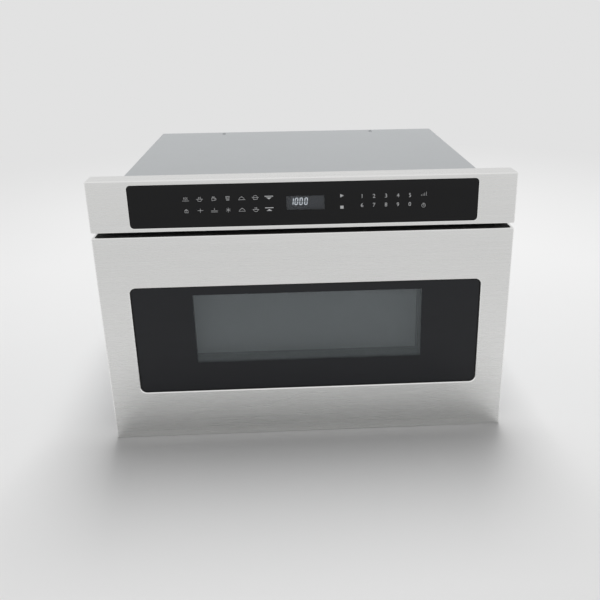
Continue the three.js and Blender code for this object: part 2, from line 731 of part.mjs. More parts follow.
function makeLampBulb() {
  const radius = bulb.radius;
  const capRadius = lampSocket.cap - seat;
  const capTop = lampAt.z + lampSocket.top - plateSheet - seat;
  const middle = lampAt.z - bulb.drop;
  const profile = [new THREE.Vector2(0, middle - radius)];
  for (let i = 1; i <= 6; i++) {
    const angle = -Math.PI / 2 + (i * Math.PI) / 9;
    profile.push(new THREE.Vector2(radius * Math.cos(angle), middle + radius * Math.sin(angle)));
  }
  profile.push(new THREE.Vector2(capRadius, lampAt.z + radius));
  profile.push(new THREE.Vector2(capRadius, capTop));
  profile.push(new THREE.Vector2(0, capTop));
  const geometry = new THREE.LatheGeometry(profile, 16);
  geometry.rotateX(Math.PI / 2).translate(lampAt.x, lampAt.y, 0);
  return solidFrom(geometry);
}

add('cavity_shell', makeCavityShell(), 'enamel');
add('stirrer_cover', makeStirrerCover(), 'mica');
add('stirrer_fan', makeStirrerFan(), 'aluminium');
add('stirrer_motor', makeStirrerMotor(), 'laminations');
add('waveguide', makeWaveguide(), 'galvanised');
add('magnetron_yoke', makeMagnetronYoke(), 'galvanised');
add('magnetron_anode', makeMagnetronAnode(), 'aluminium');
add('cavity_thermostat', makeThermostat(), 'blackPlastic');
add('lamp_holder', makeLampHolder(), 'galvanised');
add('lamp_bulb', makeLampBulb(), 'clearGlass');

// ---------------------------------------------------------------- power supply

const coreZ = [partsFloor, partsFloor + core.z];
const coreWindowZ = grown(coreZ, -core.yoke);
const coreX = span(transformerAt.x, core.x / 2);
const coreY = span(transformerAt.y, core.y / 2);

function makeTransformerCore() {
  const foot = block(grown(coreX, core.footReach), coreY, [coreZ[0], coreZ[0] + core.foot]);
  const windows = [-1, 1].map((side) => {
    const middle = transformerAt.x + side * (core.leg / 2 + core.window / 2);
    return block(span(middle, core.window / 2), grown(coreY, overcut), coreWindowZ);
  });
  return cut(join(block(coreX, coreY, coreZ), foot), ...windows);
}

// Both windings as one ring round the middle leg
function makeTransformerWinding() {
  const inX = span(transformerAt.x, core.leg / 2 + seat);
  const inY = grown(coreY, seat);
  const z = grown(coreWindowZ, -seat);
  const outline = roundedOutline(grown(inX, coilReach), grown(inY, coilReach), coilCorner);
  return cut(extruded(outline, 'z', z), block(inX, inY, grown(z, overcut)));
}

const capacitorRight = coreX[0] - core.footReach - capacitor.clearance;
const capacitorX = [capacitorRight - capacitor.width, capacitorRight];
const capacitorY = span(transformerAt.y, capacitor.depth / 2);
const capacitorTop = partsFloor + capacitor.height;
const hairline = 0.01; // keeps the two ends of an oval from meeting in one point

function makeCapacitor() {
  const outline = roundedOutline(capacitorX, capacitorY, capacitor.depth / 2 - hairline);
  const middle = (capacitorX[0] + capacitorX[1]) / 2;
  const tabZ = [capacitorTop - overcut, capacitorTop + capacitorTab.height];
  const tabs = [-1, 1].map((side) => {
    const tabX = span(middle + side * capacitorTab.offset, capacitorTab.halfWidth);
    return block(tabX, span(transformerAt.y, capacitorTab.halfSheet), tabZ);
  });
  return join(extruded(outline, 'z', [partsFloor, capacitorTop]), ...tabs);
}

function makeCapacitorStrap() {
  const z = span(partsFloor + strap.middle, strap.halfHeight);
  const innerX = grown(capacitorX, seat);
  const innerY = grown(capacitorY, seat);
  const radius = capacitor.depth / 2 + seat - hairline;
  const outline = roundedOutline(grown(innerX, plateSheet), grown(innerY, plateSheet), radius + plateSheet);
  const hole = extruded(roundedOutline(innerX, innerY, radius), 'z', grown(z, overcut));
  const legX = span((capacitorX[0] + capacitorX[1]) / 2, strap.halfHeight);
  const legY = [innerY[1] + strap.legFit, innerY[1] + plateSheet];
  const leg = block(legX, legY, [partsFloor, z[1]]);
  const foot = block(legX, [legY[0], legY[1] + strap.footReach], [partsFloor, partsFloor + plateSheet]);
  return join(cut(extruded(outline, 'z', z), hole), leg, foot);
}

function makeDiode() {
  const at = { x: coreX[1] + core.footReach + diode.clearance, z: partsFloor + diode.lift };
  const y = span(transformerAt.y, diode.length / 2);
  const lugY = [y[1] - diodeLug.lap, y[1] + diodeLug.reach];
  const lug = block(span(at.x, diodeLug.halfWidth), lugY, [partsFloor, partsFloor + diodeLug.sheet]);
  return join(cylinder('y', at, diode.radius, y, 16), lug);
}

// A board with its choke and capacitor, on four posts against the rear panel
function makeNoiseFilter() {
  const boardBack = rearPanelY - seat - filter.standoff;
  const y = [boardBack - board.thick, boardBack];
  const into = y[1] - board.thick / 2;
  const middleZ = (filterZ[0] + filterZ[1]) / 2;
  const chokeAt = { x: filterX[0] + filterChoke.at, z: middleZ };
  const parts = [
    block(filterX, y, filterZ),
    cylinder('y', chokeAt, filterChoke.radius, [y[0] - filterChoke.height, into]),
    block(
      span(filterX[0] + filterCapacitor.at, filterCapacitor.halfWidth),
      [y[0] - filterCapacitor.height, into],
      span(middleZ, filterCapacitor.halfHeight),
    ),
  ];
  for (const postX of grown(filterX, -filterPost.inset)) {
    for (const postZ of grown(filterZ, -filterPost.inset)) {
      parts.push(cylinder('y', { x: postX, z: postZ }, filterPost.radius, [into, rearPanelY - seat], 12));
    }
  }
  return join(...parts);
}

add('transformer_core', makeTransformerCore(), 'laminations');
add('transformer_winding', makeTransformerWinding(), 'copper');
add('capacitor', makeCapacitor(), 'aluminium');
add('capacitor_strap', makeCapacitorStrap(), 'galvanised');
add('high_voltage_diode', makeDiode(), 'blackPlastic');
add('noise_filter_board', makeNoiseFilter(), 'circuitBoard');

// ---------------------------------------------------------------- cooling fan

const fanMotorY = [fanY[0] - seat - fanMotor.depth, fanY[0] - seat];

function makeFanHousing() {
  const frame = block(span(fanCentre.x, fanHalf), fanY, span(fanCentre.z, fanHalf));
  const throat = cylinder('y', fanCentre, fan.radius, grown(fanY, overcut), 40);
  const strutY = [fanY[0], fanY[0] + fanStrut.depth];
  const reach = fan.radius + fanStrut.lap;
  const struts = join(
    block(span(fanCentre.x, reach), strutY, span(fanCentre.z, fanStrut.halfWidth)),
    block(span(fanCentre.x, fanStrut.halfWidth), strutY, span(fanCentre.z, reach)),
    cylinder('y', fanCentre, fanStrut.ring, strutY),
  );
  const shaftHole = cylinder('y', fanCentre, fanShaft.radius + seat, grown(strutY, overcut), 16);
  return cut(join(cut(frame, throat), struts), shaftHole);
}

function makeFanMotor() {
  const stack = block(
    span(fanCentre.x, fanMotor.halfWidth),
    fanMotorY,
    span(fanCentre.z + fanMotor.lift, fanMotor.halfHeight),
  );
  const coilAt = { x: fanCentre.x, z: fanCentre.z + fanMotor.coilLift };
  const coilY = [fanMotorY[0] - fanMotor.coilReach, fanMotorY[0] + overcut];
  const boreY = [fanMotorY[1] - fanShaft.length - seat, fanMotorY[1] + overcut];
  const bore = cylinder('y', fanCentre, fanShaft.radius + seat, boreY, 16);
  return cut(join(stack, cylinder('y', coilAt, fanMotor.coil, coilY, 16)), bore);
}

function makeFanRotor() {
  const hubY = [fanY[0] + fanStrut.depth + fanHubGap.front, fanY[1] - fanHubGap.rear];
  const shaftY = [fanMotorY[1] - fanShaft.length, hubY[0] + overcut];
  const root = fan.hub - fanBlade.sheet;
  const length = fan.radius - fan.tipGap - root;
  const parts = [
    cylinder('y', fanCentre, fan.hub, hubY),
    cylinder('y', fanCentre, fanShaft.radius, shaftY, 16),
  ];
  for (let i = 0; i < fan.blades; i++) {
    const blade = new THREE.BoxGeometry(length, fanBlade.sheet, fanBlade.chord);
    blade.rotateX(fanBlade.tilt);
    blade.translate(root + length / 2, (hubY[0] + hubY[1]) / 2, 0);
    blade.rotateY((i * 2 * Math.PI) / fan.blades);
    blade.translate(fanCentre.x, 0, fanCentre.z);
    parts.push(solidFrom(blade));
  }
  return join(...parts);
}

add('fan_housing', makeFanHousing(), 'blackPlastic');
add('fan_motor', makeFanMotor(), 'laminations');
add('fan_rotor', makeFanRotor(), 'whitePlastic');

// ---------------------------------------------------------------- telescopic slides

// A channel on its side: a web with an upper and a lower lip that reach towards the middle
function channel(side, webOuter, z, lip) {
  const outer = block(onSide(side, webOuter - lip, webOuter), slideY, z);
  const hollow = onSide(side, webOuter - lip - overcut, webOuter - slideSheet);
  return cut(outer, block(hollow, grown(slideY, overcut), grown(z, -slideSheet)));
}

for (const [hand, side] of [['left', -1], ['right', 1]]) {
  const bracketX = slideOffset + seat;
  const wall = block(onSide(side, bracketX, bracketX + plateSheet), slideY, [partsFloor, slideZ[1]]);
  const footX = onSide(side, bracketX, bracketX + bracketFoot);
  const foot = block(footX, slideY, [partsFloor, partsFloor + plateSheet]);
  add(`${hand}_rail_bracket`, join(wall, foot), 'galvanised');
  add(`${hand}_outer_rail`, channel(side, slideOffset, slideZ, outerLip), 'galvanised');
  add(`${hand}_middle_rail`, channel(side, middleRailOuterX, middleRailZ, middleLip), 'galvanised');

  const inner = block(onSide(side, innerRailOuterX - innerBar, innerRailOuterX), slideY, innerRailZ);
  add(`${hand}_inner_rail`, inner, 'galvanised');

  // The arm joins the inner rail to the door frame, to which its front tab is screwed
  const armY = [tubFrontY, slideY[1]];
  const arm = block(onSide(side, armInnerX, armX), armY, armZ);
  const tab = block(onSide(side, armX - armTab, armX), [armY[0], armY[0] + plateSheet], armZ);
  add(`${hand}_drawer_arm`, join(arm, tab), 'galvanised');
}

// ---------------------------------------------------------------- rack drive

const driveAxis = { y: pinionY, z: pinionAxisHeight };

// Rack and pinion teeth are thinned alike, so that the flanks keep half of the backlash from each
function makeRack() {
  const start = tubFrontY + plateSheet + seat;
  const end = slideY[1];
  const tip = pitchLine - rackAddendum;
  const root = pitchLine + toothModule * 1.25;
  const slope = Math.tan(pressureAngle);
  const half = toothPitch / 4 - toothBacklash / 2;
  const outline = new THREE.Shape();
  outline.moveTo(start, rackBack);
  outline.lineTo(start, root);
  const firstTooth = Math.ceil((start - pinionY) / toothPitch);
  for (let k = firstTooth; pinionY + (k + 1.1) * toothPitch < end; k++) {
    const middle = pinionY + (k + 0.5) * toothPitch;
    const halfRoot = half + (root - pitchLine) * slope;
    const halfTip = half - rackAddendum * slope;
    outline.lineTo(middle - halfRoot, root);
    outline.lineTo(middle - halfTip, tip);
    outline.lineTo(middle + halfTip, tip);
    outline.lineTo(middle + halfRoot, root);
  }
  outline.lineTo(end, root);
  outline.lineTo(end, rackBack);
  return extruded(outline, 'x', rackX);
}

// Involute teeth; one points straight up, into a gap of the rack
function makePinion() {
  const baseRadius = pitchRadius * Math.cos(pressureAngle);
  const tipRadius = pitchRadius + toothModule;
  const rootRadius = pitchRadius - toothModule * 1.25;
  const involute = (angle) => Math.tan(angle) - angle;
  const halfAngleAt = (radius) => {
    const atRadius = Math.acos(Math.min(1, baseRadius / radius));
    const halfTooth = (Math.PI / 2 - toothBacklash / toothModule) / pinionTeeth;
    return halfTooth + involute(pressureAngle) - involute(atRadius);
  };
  const flankRadii = [rootRadius, baseRadius, pitchRadius, tipRadius];
  const outline = new THREE.Shape();
  for (let i = 0; i < pinionTeeth; i++) {
    const middle = Math.PI / 2 + (i * 2 * Math.PI) / pinionTeeth;
    const points = [
      ...flankRadii.map((radius) => [radius, middle - halfAngleAt(radius)]),
      ...flankRadii.toReversed().map((radius) => [radius, middle + halfAngleAt(radius)]),
    ];
    for (const [radius, angle] of points) {
      const y = pinionY + radius * Math.cos(angle);
      const z = pinionAxisHeight + radius * Math.sin(angle);
      if (i === 0 && radius === rootRadius && angle < middle) outline.moveTo(y, z);
      else outline.lineTo(y, z);
    }
  }
  const shaftX = [pinionX[0] - seat - driveShaft.length, pinionX[0] + overcut];
  const shaft = cylinder('x', driveAxis, driveShaft.radius, shaftX, 16);
  return join(extruded(outline, 'x', pinionX), shaft);
}

const gearboxX = [pinionX[0] - seat - gearbox.x, pinionX[0] - seat];

function makeGearbox() {
  const y = span(pinionY, gearbox.y / 2);
  const z = [partsFloor, partsFloor + gearbox.z];
  const foot = block([gearboxX[0] - gearbox.foot, gearboxX[1]], y, [z[0], z[0] + gearbox.footSheet]);
  const boreX = [gearboxX[1] - driveShaft.length - seat, gearboxX[1] + overcut];
  const bore = cylinder('x', driveAxis, driveShaft.radius + seat, boreX, 16);
  return cut(join(block(gearboxX, y, z), foot), bore);
}

function makeDriveMotor() {
  const can = [gearboxX[0] - seat - driveMotor.length, gearboxX[0] - seat];
  const end = [can[0] - driveMotor.end, can[0] + overcut];
  return join(
    cylinder('x', driveAxis, driveMotor.radius, can),
    cylinder('x', driveAxis, driveMotor.endRadius, end, 16),
  );
}

add('drive_rack', makeRack(), 'whitePlastic');
add('drive_pinion', makePinion(), 'whitePlastic');
add('drive_gearbox', makeGearbox(), 'whitePlastic');
add('drive_motor', makeDriveMotor(), 'galvanised');

// ---------------------------------------------------------------- door switches

const switchY = [cabinetY + switchSize.setback, cabinetY + switchSize.setback + switchSize.y];
const switchWallX = hookOffset + switchSize.x / 2 + seat;
const bracketZ = grown(hookZ, switchSize.z + switchBracket.lap);

for (const [hand, side] of [['left', -1], ['right', 1]]) {
  const nearX = hookOffset - hook.halfWidth;
  const hookBar = block(
    onSide(side, nearX, hookOffset + hook.halfWidth),
    [tubFrontY, cabinetY + hookReach],
    hookZ,
  );
  const hookFoot = block(
    onSide(side, nearX, hookOffset + hook.footWidth),
    [tubFrontY, tubFrontY + hook.footSheet],
    grown(hookZ, hook.footLap),
  );
  add(`${hand}_latch_hook`, join(hookBar, hookFoot), 'blackPlastic');

  const wall = block(
    onSide(side, switchWallX, switchWallX + plateSheet),
    [caseFrontY, switchY[1]],
    bracketZ,
  );
  const foot = block(
    onSide(side, switchWallX, switchWallX + switchBracket.foot),
    [caseFrontY, caseFrontY + plateSheet],
    bracketZ,
  );
  add(`${hand}_switch_bracket`, join(wall, foot), 'galvanised');
}

// A switch body with its plunger, which faces the hook: above it (up 1) or below it (up -1)
function makeSwitch(side, up) {
  const near = up > 0 ? hookZ[1] : hookZ[0];
  const from = (start, end) => [near + up * start, near + up * end].sort((a, b) => a - b);
  const x = onSide(side, hookOffset - switchSize.x / 2, hookOffset + switchSize.x / 2);
  const body = block(x, switchY, from(switchSize.fromHook, switchSize.fromHook + switchSize.z));
  const plungerX = onSide(side, hookOffset - plunger.halfWidth, hookOffset + plunger.halfWidth);
  const plungerY = span(switchY[0] + plunger.setback, plunger.halfDepth);
  return join(body, block(plungerX, plungerY, from(seat, switchSize.fromHook + overcut)));
}

add('primary_switch', makeSwitch(1, 1), 'blackPlastic');
add('monitor_switch', makeSwitch(1, -1), 'blackPlastic');
add('secondary_switch', makeSwitch(-1, 1), 'blackPlastic');

// ---------------------------------------------------------------- drawer front

function makeDrawerFront() {
  const x = span(0, halfFront);
  const z = [frontBottom, drawerTop];
  const shell = pan(
    [x, [frontY, doorBackY], z],
    [grown(x, -skinSheet), [frontY + skinSheet, cabinetY], grown(z, -skinSheet)],
  );
  const collar = frontSlab(
    grown(windowX, skinSheet),
    grown(windowZ, skinSheet),
    [frontY, frontY + windowFlange],
    windowCornerRadius + skinSheet,
  );
  const through = [frontY - overcut, frontY + windowFlange + overcut];
  return cut(join(shell, collar), frontSlab(windowX, windowZ, through, windowCornerRadius));
}

function makeWindowGlass() {
  return frontSlab(windowGlassX, windowGlassZ, [windowGlassY, windowGlassBackY], windowCornerRadius);
}

// The dark moulding between glass and screen: a flange behind the glass and a tunnel round the view
function makeWindowSurround() {
  const y = [windowGlassBackY + seat, screenFrontY - seat];
  const flange = block(windowGlassX, [y[0], y[0] + surroundWall], windowGlassZ);
  const tunnel = block(grown(viewX, surroundWall), y, grown(viewZ, surroundWall));
  return cut(join(flange, tunnel), block(viewX, grown(y, overcut), viewZ));
}

function makeDoorFrame() {
  const x = span(0, halfFront - skinSheet - seat);
  const z = [frontBottom + skinSheet + seat, drawerTop - skinSheet - seat];
  const tray = pan(
    [x, [frameBackY - doorFrameDepth, frameBackY], z],
    [grown(x, -plateSheet), [frontY, framePlateY], grown(z, -plateSheet)],
  );
  return cut(tray, block(viewX, [framePlateY - overcut, frameBackY + overcut], viewZ));
}

// A black rim round the oven's mouth, which keeps clear of the two drawer arms below it
function makeChokeCover() {
  const y = [frameBackY + seat, doorBackY];
  const z = [armZ[1] + chokeFit.arm, cavityCeiling + chokeBand];
  const mouthZ = [tubBottom - chokeFit.below, cavityCeiling];
  return cut(block(chokeX, y, z), block(chokeMouthX, grown(y, overcut), mouthZ));
}

add('drawer_front', makeDrawerFront(), 'stainless');
add('window_glass', makeWindowGlass(), 'blackGlass');
add('window_surround', makeWindowSurround(), 'greyPlastic');
add('window_screen', block(screenX, [screenFrontY, screenBackY], screenZ), 'screen');
add('door_frame', makeDoorFrame(), 'galvanised');
add('inner_window', block(screenX, [frameBackY + seat, doorBackY], screenZ), 'clearGlass');
add('choke_cover', makeChokeCover(), 'blackPlastic');

// ---------------------------------------------------------------- drawer tub

function makeDrawerTub() {
  const innerX = span(0, halfTub - tubSheet);
  const innerY = [tubFrontY, tubRearY - tubSheet];
  // The corners are round at the rear only, so the outlines run past the front and are cut off there
  const past = 2 * tubCornerRadius;
  const stretched = ([low, high], by) => [low - past, high + by];
  const outerRadius = tubCornerRadius + tubSheet;
  const outer = roundedOutline(grown(innerX, tubSheet), stretched(innerY, tubSheet), outerRadius);
  const rimOutline = roundedOutline(
    grown(innerX, tubSheet + tubRim),
    stretched(innerY, tubSheet + tubRim),
    outerRadius + tubRim,
  );
  const inner = roundedOutline(innerX, stretched(innerY, 0), tubCornerRadius);
  const walls = extruded(outer, 'z', [tubBottom, tubTop]);
  const rim = extruded(rimOutline, 'z', [tubTop - tubRimSheet, tubTop]);
  const hollow = extruded(inner, 'z', [tubBottom + tubSheet, tubTop + overcut]);
  const ahead = block(span(0, halfFront), [tubFrontY - 2 * past, tubFrontY], [0, tubTop + overcut]);
  return cut(join(walls, rim), hollow, ahead);
}

function makeGlassTray() {
  const x = span(0, halfTub - tubSheet - trayClearance);
  const y = [tubFrontY + trayClearance, tubRearY - tubSheet - trayClearance];
  return extruded(roundedOutline(x, y, tubCornerRadius), 'z', [trayBottom, trayBottom + trayThick]);
}

add('drawer_tub', makeDrawerTub(), 'enamel');
add('glass_tray', makeGlassTray(), 'ceramic');

export default microwaveDrawer;
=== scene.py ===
import json
import math

import bmesh
import bpy
from mathutils import Matrix, Vector


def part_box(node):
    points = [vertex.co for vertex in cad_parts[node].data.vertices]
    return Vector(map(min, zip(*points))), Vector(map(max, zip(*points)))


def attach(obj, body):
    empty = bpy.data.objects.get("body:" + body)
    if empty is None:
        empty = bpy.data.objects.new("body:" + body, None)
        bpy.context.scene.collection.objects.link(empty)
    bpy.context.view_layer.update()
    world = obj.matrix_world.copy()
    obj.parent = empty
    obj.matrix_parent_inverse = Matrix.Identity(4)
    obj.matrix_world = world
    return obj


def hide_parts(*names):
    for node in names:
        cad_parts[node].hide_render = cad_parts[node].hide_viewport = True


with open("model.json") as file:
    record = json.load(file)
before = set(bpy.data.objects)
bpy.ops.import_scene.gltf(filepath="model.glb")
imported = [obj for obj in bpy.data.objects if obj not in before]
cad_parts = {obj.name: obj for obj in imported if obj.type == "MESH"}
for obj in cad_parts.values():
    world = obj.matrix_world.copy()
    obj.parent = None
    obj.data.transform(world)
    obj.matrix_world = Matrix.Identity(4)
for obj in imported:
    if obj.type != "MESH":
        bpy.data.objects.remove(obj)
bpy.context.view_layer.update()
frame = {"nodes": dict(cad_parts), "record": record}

scene = bpy.context.scene
MM = 0.001

# -------------------------------------------------- sizes, in millimetres, from the frame


def reach(node):
    """How far a CAD node reaches along x, y and z: three pairs, to a hundredth of a millimetre."""
    low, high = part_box(node)
    return [(round(a / MM, 2), round(b / MM, 2)) for a, b in zip(low, high)]


def grown(interval, by):
    return (interval[0] - by, interval[1] + by)


def span(centre, half):
    return (centre - half, centre + half)


def middle(interval):
    return (interval[0] + interval[1]) / 2


CASE_X, CASE_Y, CASE_Z = reach("outer_case")
PANEL_X, PANEL_Y, PANEL_Z = reach("rear_panel")
GLAND_X, GLAND_Y, GLAND_Z = reach("cord_gland")
FAN_X, _, FAN_Z = reach("fan_housing")
DRAWER_X, DRAWER_Y, DRAWER_Z = reach("drawer_front")
TUB_X, TUB_Y, TUB_Z = reach("drawer_tub")
TRAY_X, TRAY_Y, TRAY_Z = reach("glass_tray")
DISPLAY_X, _, DISPLAY_Z = reach("display_module")
KEYS_X, KEYS_Y, KEYS_Z = reach("control_glass")
GLASS_X, GLASS_Y, GLASS_Z = reach("window_glass")
SCREEN_X, _, SCREEN_Z = reach("window_screen")

SHEET = 1.2
# In the photograph both cut-outs begin this much further in on the left and at the top
EDGE_SETBACK = 1.1

# The control glass, and the fascia's cut-out round it
CONTROL_FIT = 0.4
CONTROL_RADIUS = 5.5
PANE_X = (KEYS_X[0] + EDGE_SETBACK, KEYS_X[1])
PANE_Z = (KEYS_Z[0], KEYS_Z[1] - EDGE_SETBACK)
CONTROL_X, CONTROL_Z = grown(PANE_X, CONTROL_FIT), grown(PANE_Z, CONTROL_FIT)

# The drawer front's cut-out, in front of the window glass
WINDOW_RADIUS = 9.0
WINDOW_FLANGE = 2.5
WINDOW_GLASS_LAP = 12.0
WINDOW_X = (GLASS_X[0] + WINDOW_GLASS_LAP + EDGE_SETBACK, GLASS_X[1] - WINDOW_GLASS_LAP)
WINDOW_Z = (GLASS_Z[0] + WINDOW_GLASS_LAP, GLASS_Z[1] - WINDOW_GLASS_LAP - EDGE_SETBACK)

# What the window's surround leaves free of the screen, and where the screen has its holes; the
# plain strip left at the right and bottom is painted darker, as shade
SCREEN_LAP = 5.0
SHADED_BORDER = 2.8
VIEW_X, VIEW_Z = grown(SCREEN_X, -SCREEN_LAP), grown(SCREEN_Z, -SCREEN_LAP)
HOLED_X = (SCREEN_X[0], VIEW_X[1] - SHADED_BORDER)
HOLED_Z = (VIEW_Z[0] + SHADED_BORDER, SCREEN_Z[1])

# -------------------------------------------------- camera, where the photograph was taken from

CAMERA_AT = Vector((-21.64, -1437.86, 610.56)) * MM
CAMERA_DOWN = math.radians(23.306)
CAMERA_YAW = math.radians(3.171)
CAMERA_ROLL = math.radians(-0.666)
LENS, SENSOR = 48.06, 36
SHIFT = (-0.0583, 0.0833)
CLIP = (0.05, 100)


def make_camera():
    data = bpy.data.cameras.new("camera")
    data.lens, data.sensor_width = LENS, SENSOR
    data.shift_x, data.shift_y = SHIFT
    data.clip_start, data.clip_end = CLIP
    camera = bpy.data.objects.new("camera", data)
    scene.collection.objects.link(camera)
    forward = Vector((
        math.sin(CAMERA_YAW) * math.cos(CAMERA_DOWN),
        math.cos(CAMERA_YAW) * math.cos(CAMERA_DOWN),
        -math.sin(CAMERA_DOWN),
    ))
    turn = forward.to_track_quat("-Z", "Y").to_matrix() @ Matrix.Rotation(CAMERA_ROLL, 3, "Z")
    camera.matrix_world = Matrix.Translation(CAMERA_AT) @ turn.to_4x4()
    scene.camera = camera


make_camera()

# -------------------------------------------------- materials

# The sockets that a Mix node uses for colours
MIX_INPUTS, MIX_OUTPUT = (0, 6, 7), 2


class Shader:
    """A material's node tree, with short ways to add nodes and to link them."""

    def __init__(self, name, color, roughness, metallic=0.0, **sockets):
        self.material = bpy.data.materials.new(name)
        self.material.use_nodes = True
        self.tree = self.material.node_tree
        self.surface = self.tree.nodes["Principled BSDF"]
        self.color = color
        self.surface.inputs["Base Color"].default_value = (*color, 1)
        self.surface.inputs["Roughness"].default_value = roughness
        self.surface.inputs["Metallic"].default_value = metallic
        for socket, value in sockets.items():
            self.surface.inputs[socket.replace("_", " ")].default_value = value

    def feed(self, socket, value):
        """Links a socket to another node's output, or sets it to a plain value."""
        if isinstance(value, bpy.types.NodeSocket):
            self.tree.links.new(value, socket)
        else:
            socket.default_value = value

    def node(self, kind, settings=None, **inputs):
        made = self.tree.nodes.new("ShaderNode" + kind)
        for key, value in (settings or {}).items():
            setattr(made, key, value)
        for key, value in inputs.items():
            self.feed(made.inputs[key.replace("_", " ")], value)
        return made

    def math(self, operation, *values):
        made = self.node("Math", {"operation": operation})
        for socket, value in zip(made.inputs, values):
            self.feed(socket, value)
        return made.outputs[0]

    def total(self, first, second):
        """The sum of two values, each given with its weight."""
        return self.math("ADD", self.math("MULTIPLY", *first), self.math("MULTIPLY", *second))

    def place(self, scale=(1, 1, 1)):
        """Coordinates on the piece, in metres, stretched by scale."""
        coordinates = self.node("TexCoord").outputs["Object"]
        return self.node("Mapping", Vector=coordinates, Scale=scale).outputs["Vector"]

    def axes(self, scale=(1, 1, 1)):
        """The same, as one value for each axis."""
        return self.node("SeparateXYZ", Vector=self.place(scale)).outputs

    def noise(self, *scale, detail=3.0):
        """Noise from 0 to 1, of that many grains to the metre: one number, or one for each axis."""
        where = self.place(scale if len(scale) == 3 else scale * 3)
        made = self.node("TexNoise", Vector=where, Scale=1.0, Detail=detail, Roughness=0.55)
        return made.outputs["Fac"]

    def cells(self, scale):
        """Crystal-like cells: a distance from each one's middle, and a colour for each."""
        return self.node("TexVoronoi", Vector=self.place(), Scale=scale).outputs

    def channel(self, color, index):
        return self.node("SeparateColor", Color=color).outputs[index]

    def spread(self, fac, low, high, fac_low=0.3, fac_high=0.7):
        """Turns fac_low to fac_high into low to high."""
        made = self.node(
            "MapRange", Value=fac, From_Min=fac_low, From_Max=fac_high, To_Min=low, To_Max=high,
        )
        return made.outputs["Result"]

    def mix(self, *values):
        """A colour between two others: the share, the first and the second."""
        made = self.node("Mix", {"data_type": "RGBA"})
        for index, value in zip(MIX_INPUTS, values):
            self.feed(made.inputs[index], value)
        return made.outputs[MIX_OUTPUT]

    def tint(self, share):
        return tuple(min(1.0, c * share) for c in self.color) + (1,)

    def paint(self, fac, dark, light):
        """Base colour from dark to light times the material's own, by fac."""
        self.color_link(self.mix(fac, self.tint(dark), self.tint(light)))

    def color_link(self, socket):
        self.feed(self.surface.inputs["Base Color"], socket)

    def gloss(self, fac, low, high):
        self.feed(self.surface.inputs["Roughness"], self.spread(fac, low, high))

    def bump(self, height, depth, edge=0.0):
        """Relief of that depth in millimetres. Edges look rounded by edge millimetres."""
        made = self.node("Bump", Height=height, Distance=depth * MM, Strength=1.0)
        if edge:
            bevel = self.node("Bevel", {"samples": 4}, Radius=edge * MM)
            self.feed(made.inputs["Normal"], bevel.outputs[0])
        self.feed(self.surface.inputs["Normal"], made.outputs["Normal"])


EDGE = 0.4


def stainless(name, color, roughness):
    """Brushed along X: long fine streaks over a faint cloudiness."""
    s = Shader(name, color, roughness, metallic=1.0)
    streaks = s.noise(5, 900, 900, detail=4)
    fine = s.noise(14, 2600, 2600, detail=2)
    cloud = s.noise(3, 5, 5, detail=2)
    grain = s.total((streaks, 0.6), (fine, 0.4))
    shade = s.total((grain, 0.75), (cloud, 0.25))
    s.paint(s.spread(shade, 0.0, 1.0, 0.35, 0.65), dark=0.975, light=1.02)
    s.gloss(grain, roughness - 0.06, roughness + 0.06)
    s.bump(grain, depth=0.007)
    return s.material


def galvanised(name, color):
    """Zinc-coated sheet: spangled patches, dull."""
    s = Shader(name, color, roughness=0.62, metallic=0.4)
    patch = s.channel(s.cells(260)["Color"], 0)
    fac = s.total((patch, 0.5), (s.noise(18), 0.5))
    s.paint(fac, dark=0.92, light=1.07)
    s.gloss(fac, 0.55, 0.65)
    s.bump(s.noise(900, detail=1), depth=0.002, edge=EDGE)
    return s.material


def painted(name, color, roughness, speckle=0.0, edge=EDGE):
    """Baked enamel with a faint orange-peel surface, and dark specks of that strength."""
    s = Shader(name, color, roughness)
    cloud = s.noise(9)
    if speckle:
        speck = s.spread(s.cells(900)["Distance"], 1.0, 0.0, 0.08, 0.2)
        base = s.mix(cloud, s.tint(0.95), s.tint(1.04))
        s.color_link(s.mix(s.math("MULTIPLY", speck, speckle), base, s.tint(0.45)))
    else:
        s.paint(cloud, dark=0.94, light=1.05)
    s.gloss(cloud, roughness - 0.05, roughness + 0.07)
    s.bump(s.noise(420, detail=1), depth=0.02, edge=edge)
    return s.material


def plastic(name, color, roughness, grain=1400):
    """Moulded plastic with a fine spark-eroded grain."""
    s = Shader(name, color, roughness)
    grains = s.noise(grain, detail=2)
    s.paint(s.noise(25), dark=0.9, light=1.1)
    s.gloss(grains, roughness - 0.06, roughness + 0.1)
    s.bump(grains, depth=0.02, edge=EDGE)
    return s.material


def glass(name, color, shine, alpha=1.0, roughness=0.06):
    """Polished glass over print, or tinted and see-through, with very faint wiping marks."""
    s = Shader(name, color, roughness, Alpha=alpha, Specular_IOR_Level=shine)
    wiped = s.noise(7, 30, 30, detail=4)
    s.paint(wiped, dark=0.9, light=1.1)
    s.gloss(wiped, roughness, roughness + 0.05)
    s.bump(s.noise(12, detail=1), depth=0.01)
    return s.material


HOLE_PITCH = 1.7
# From its middle, a hole ends and the metal begins between these shares of the pitch
HOLE_RIM = (0.26, 0.34)


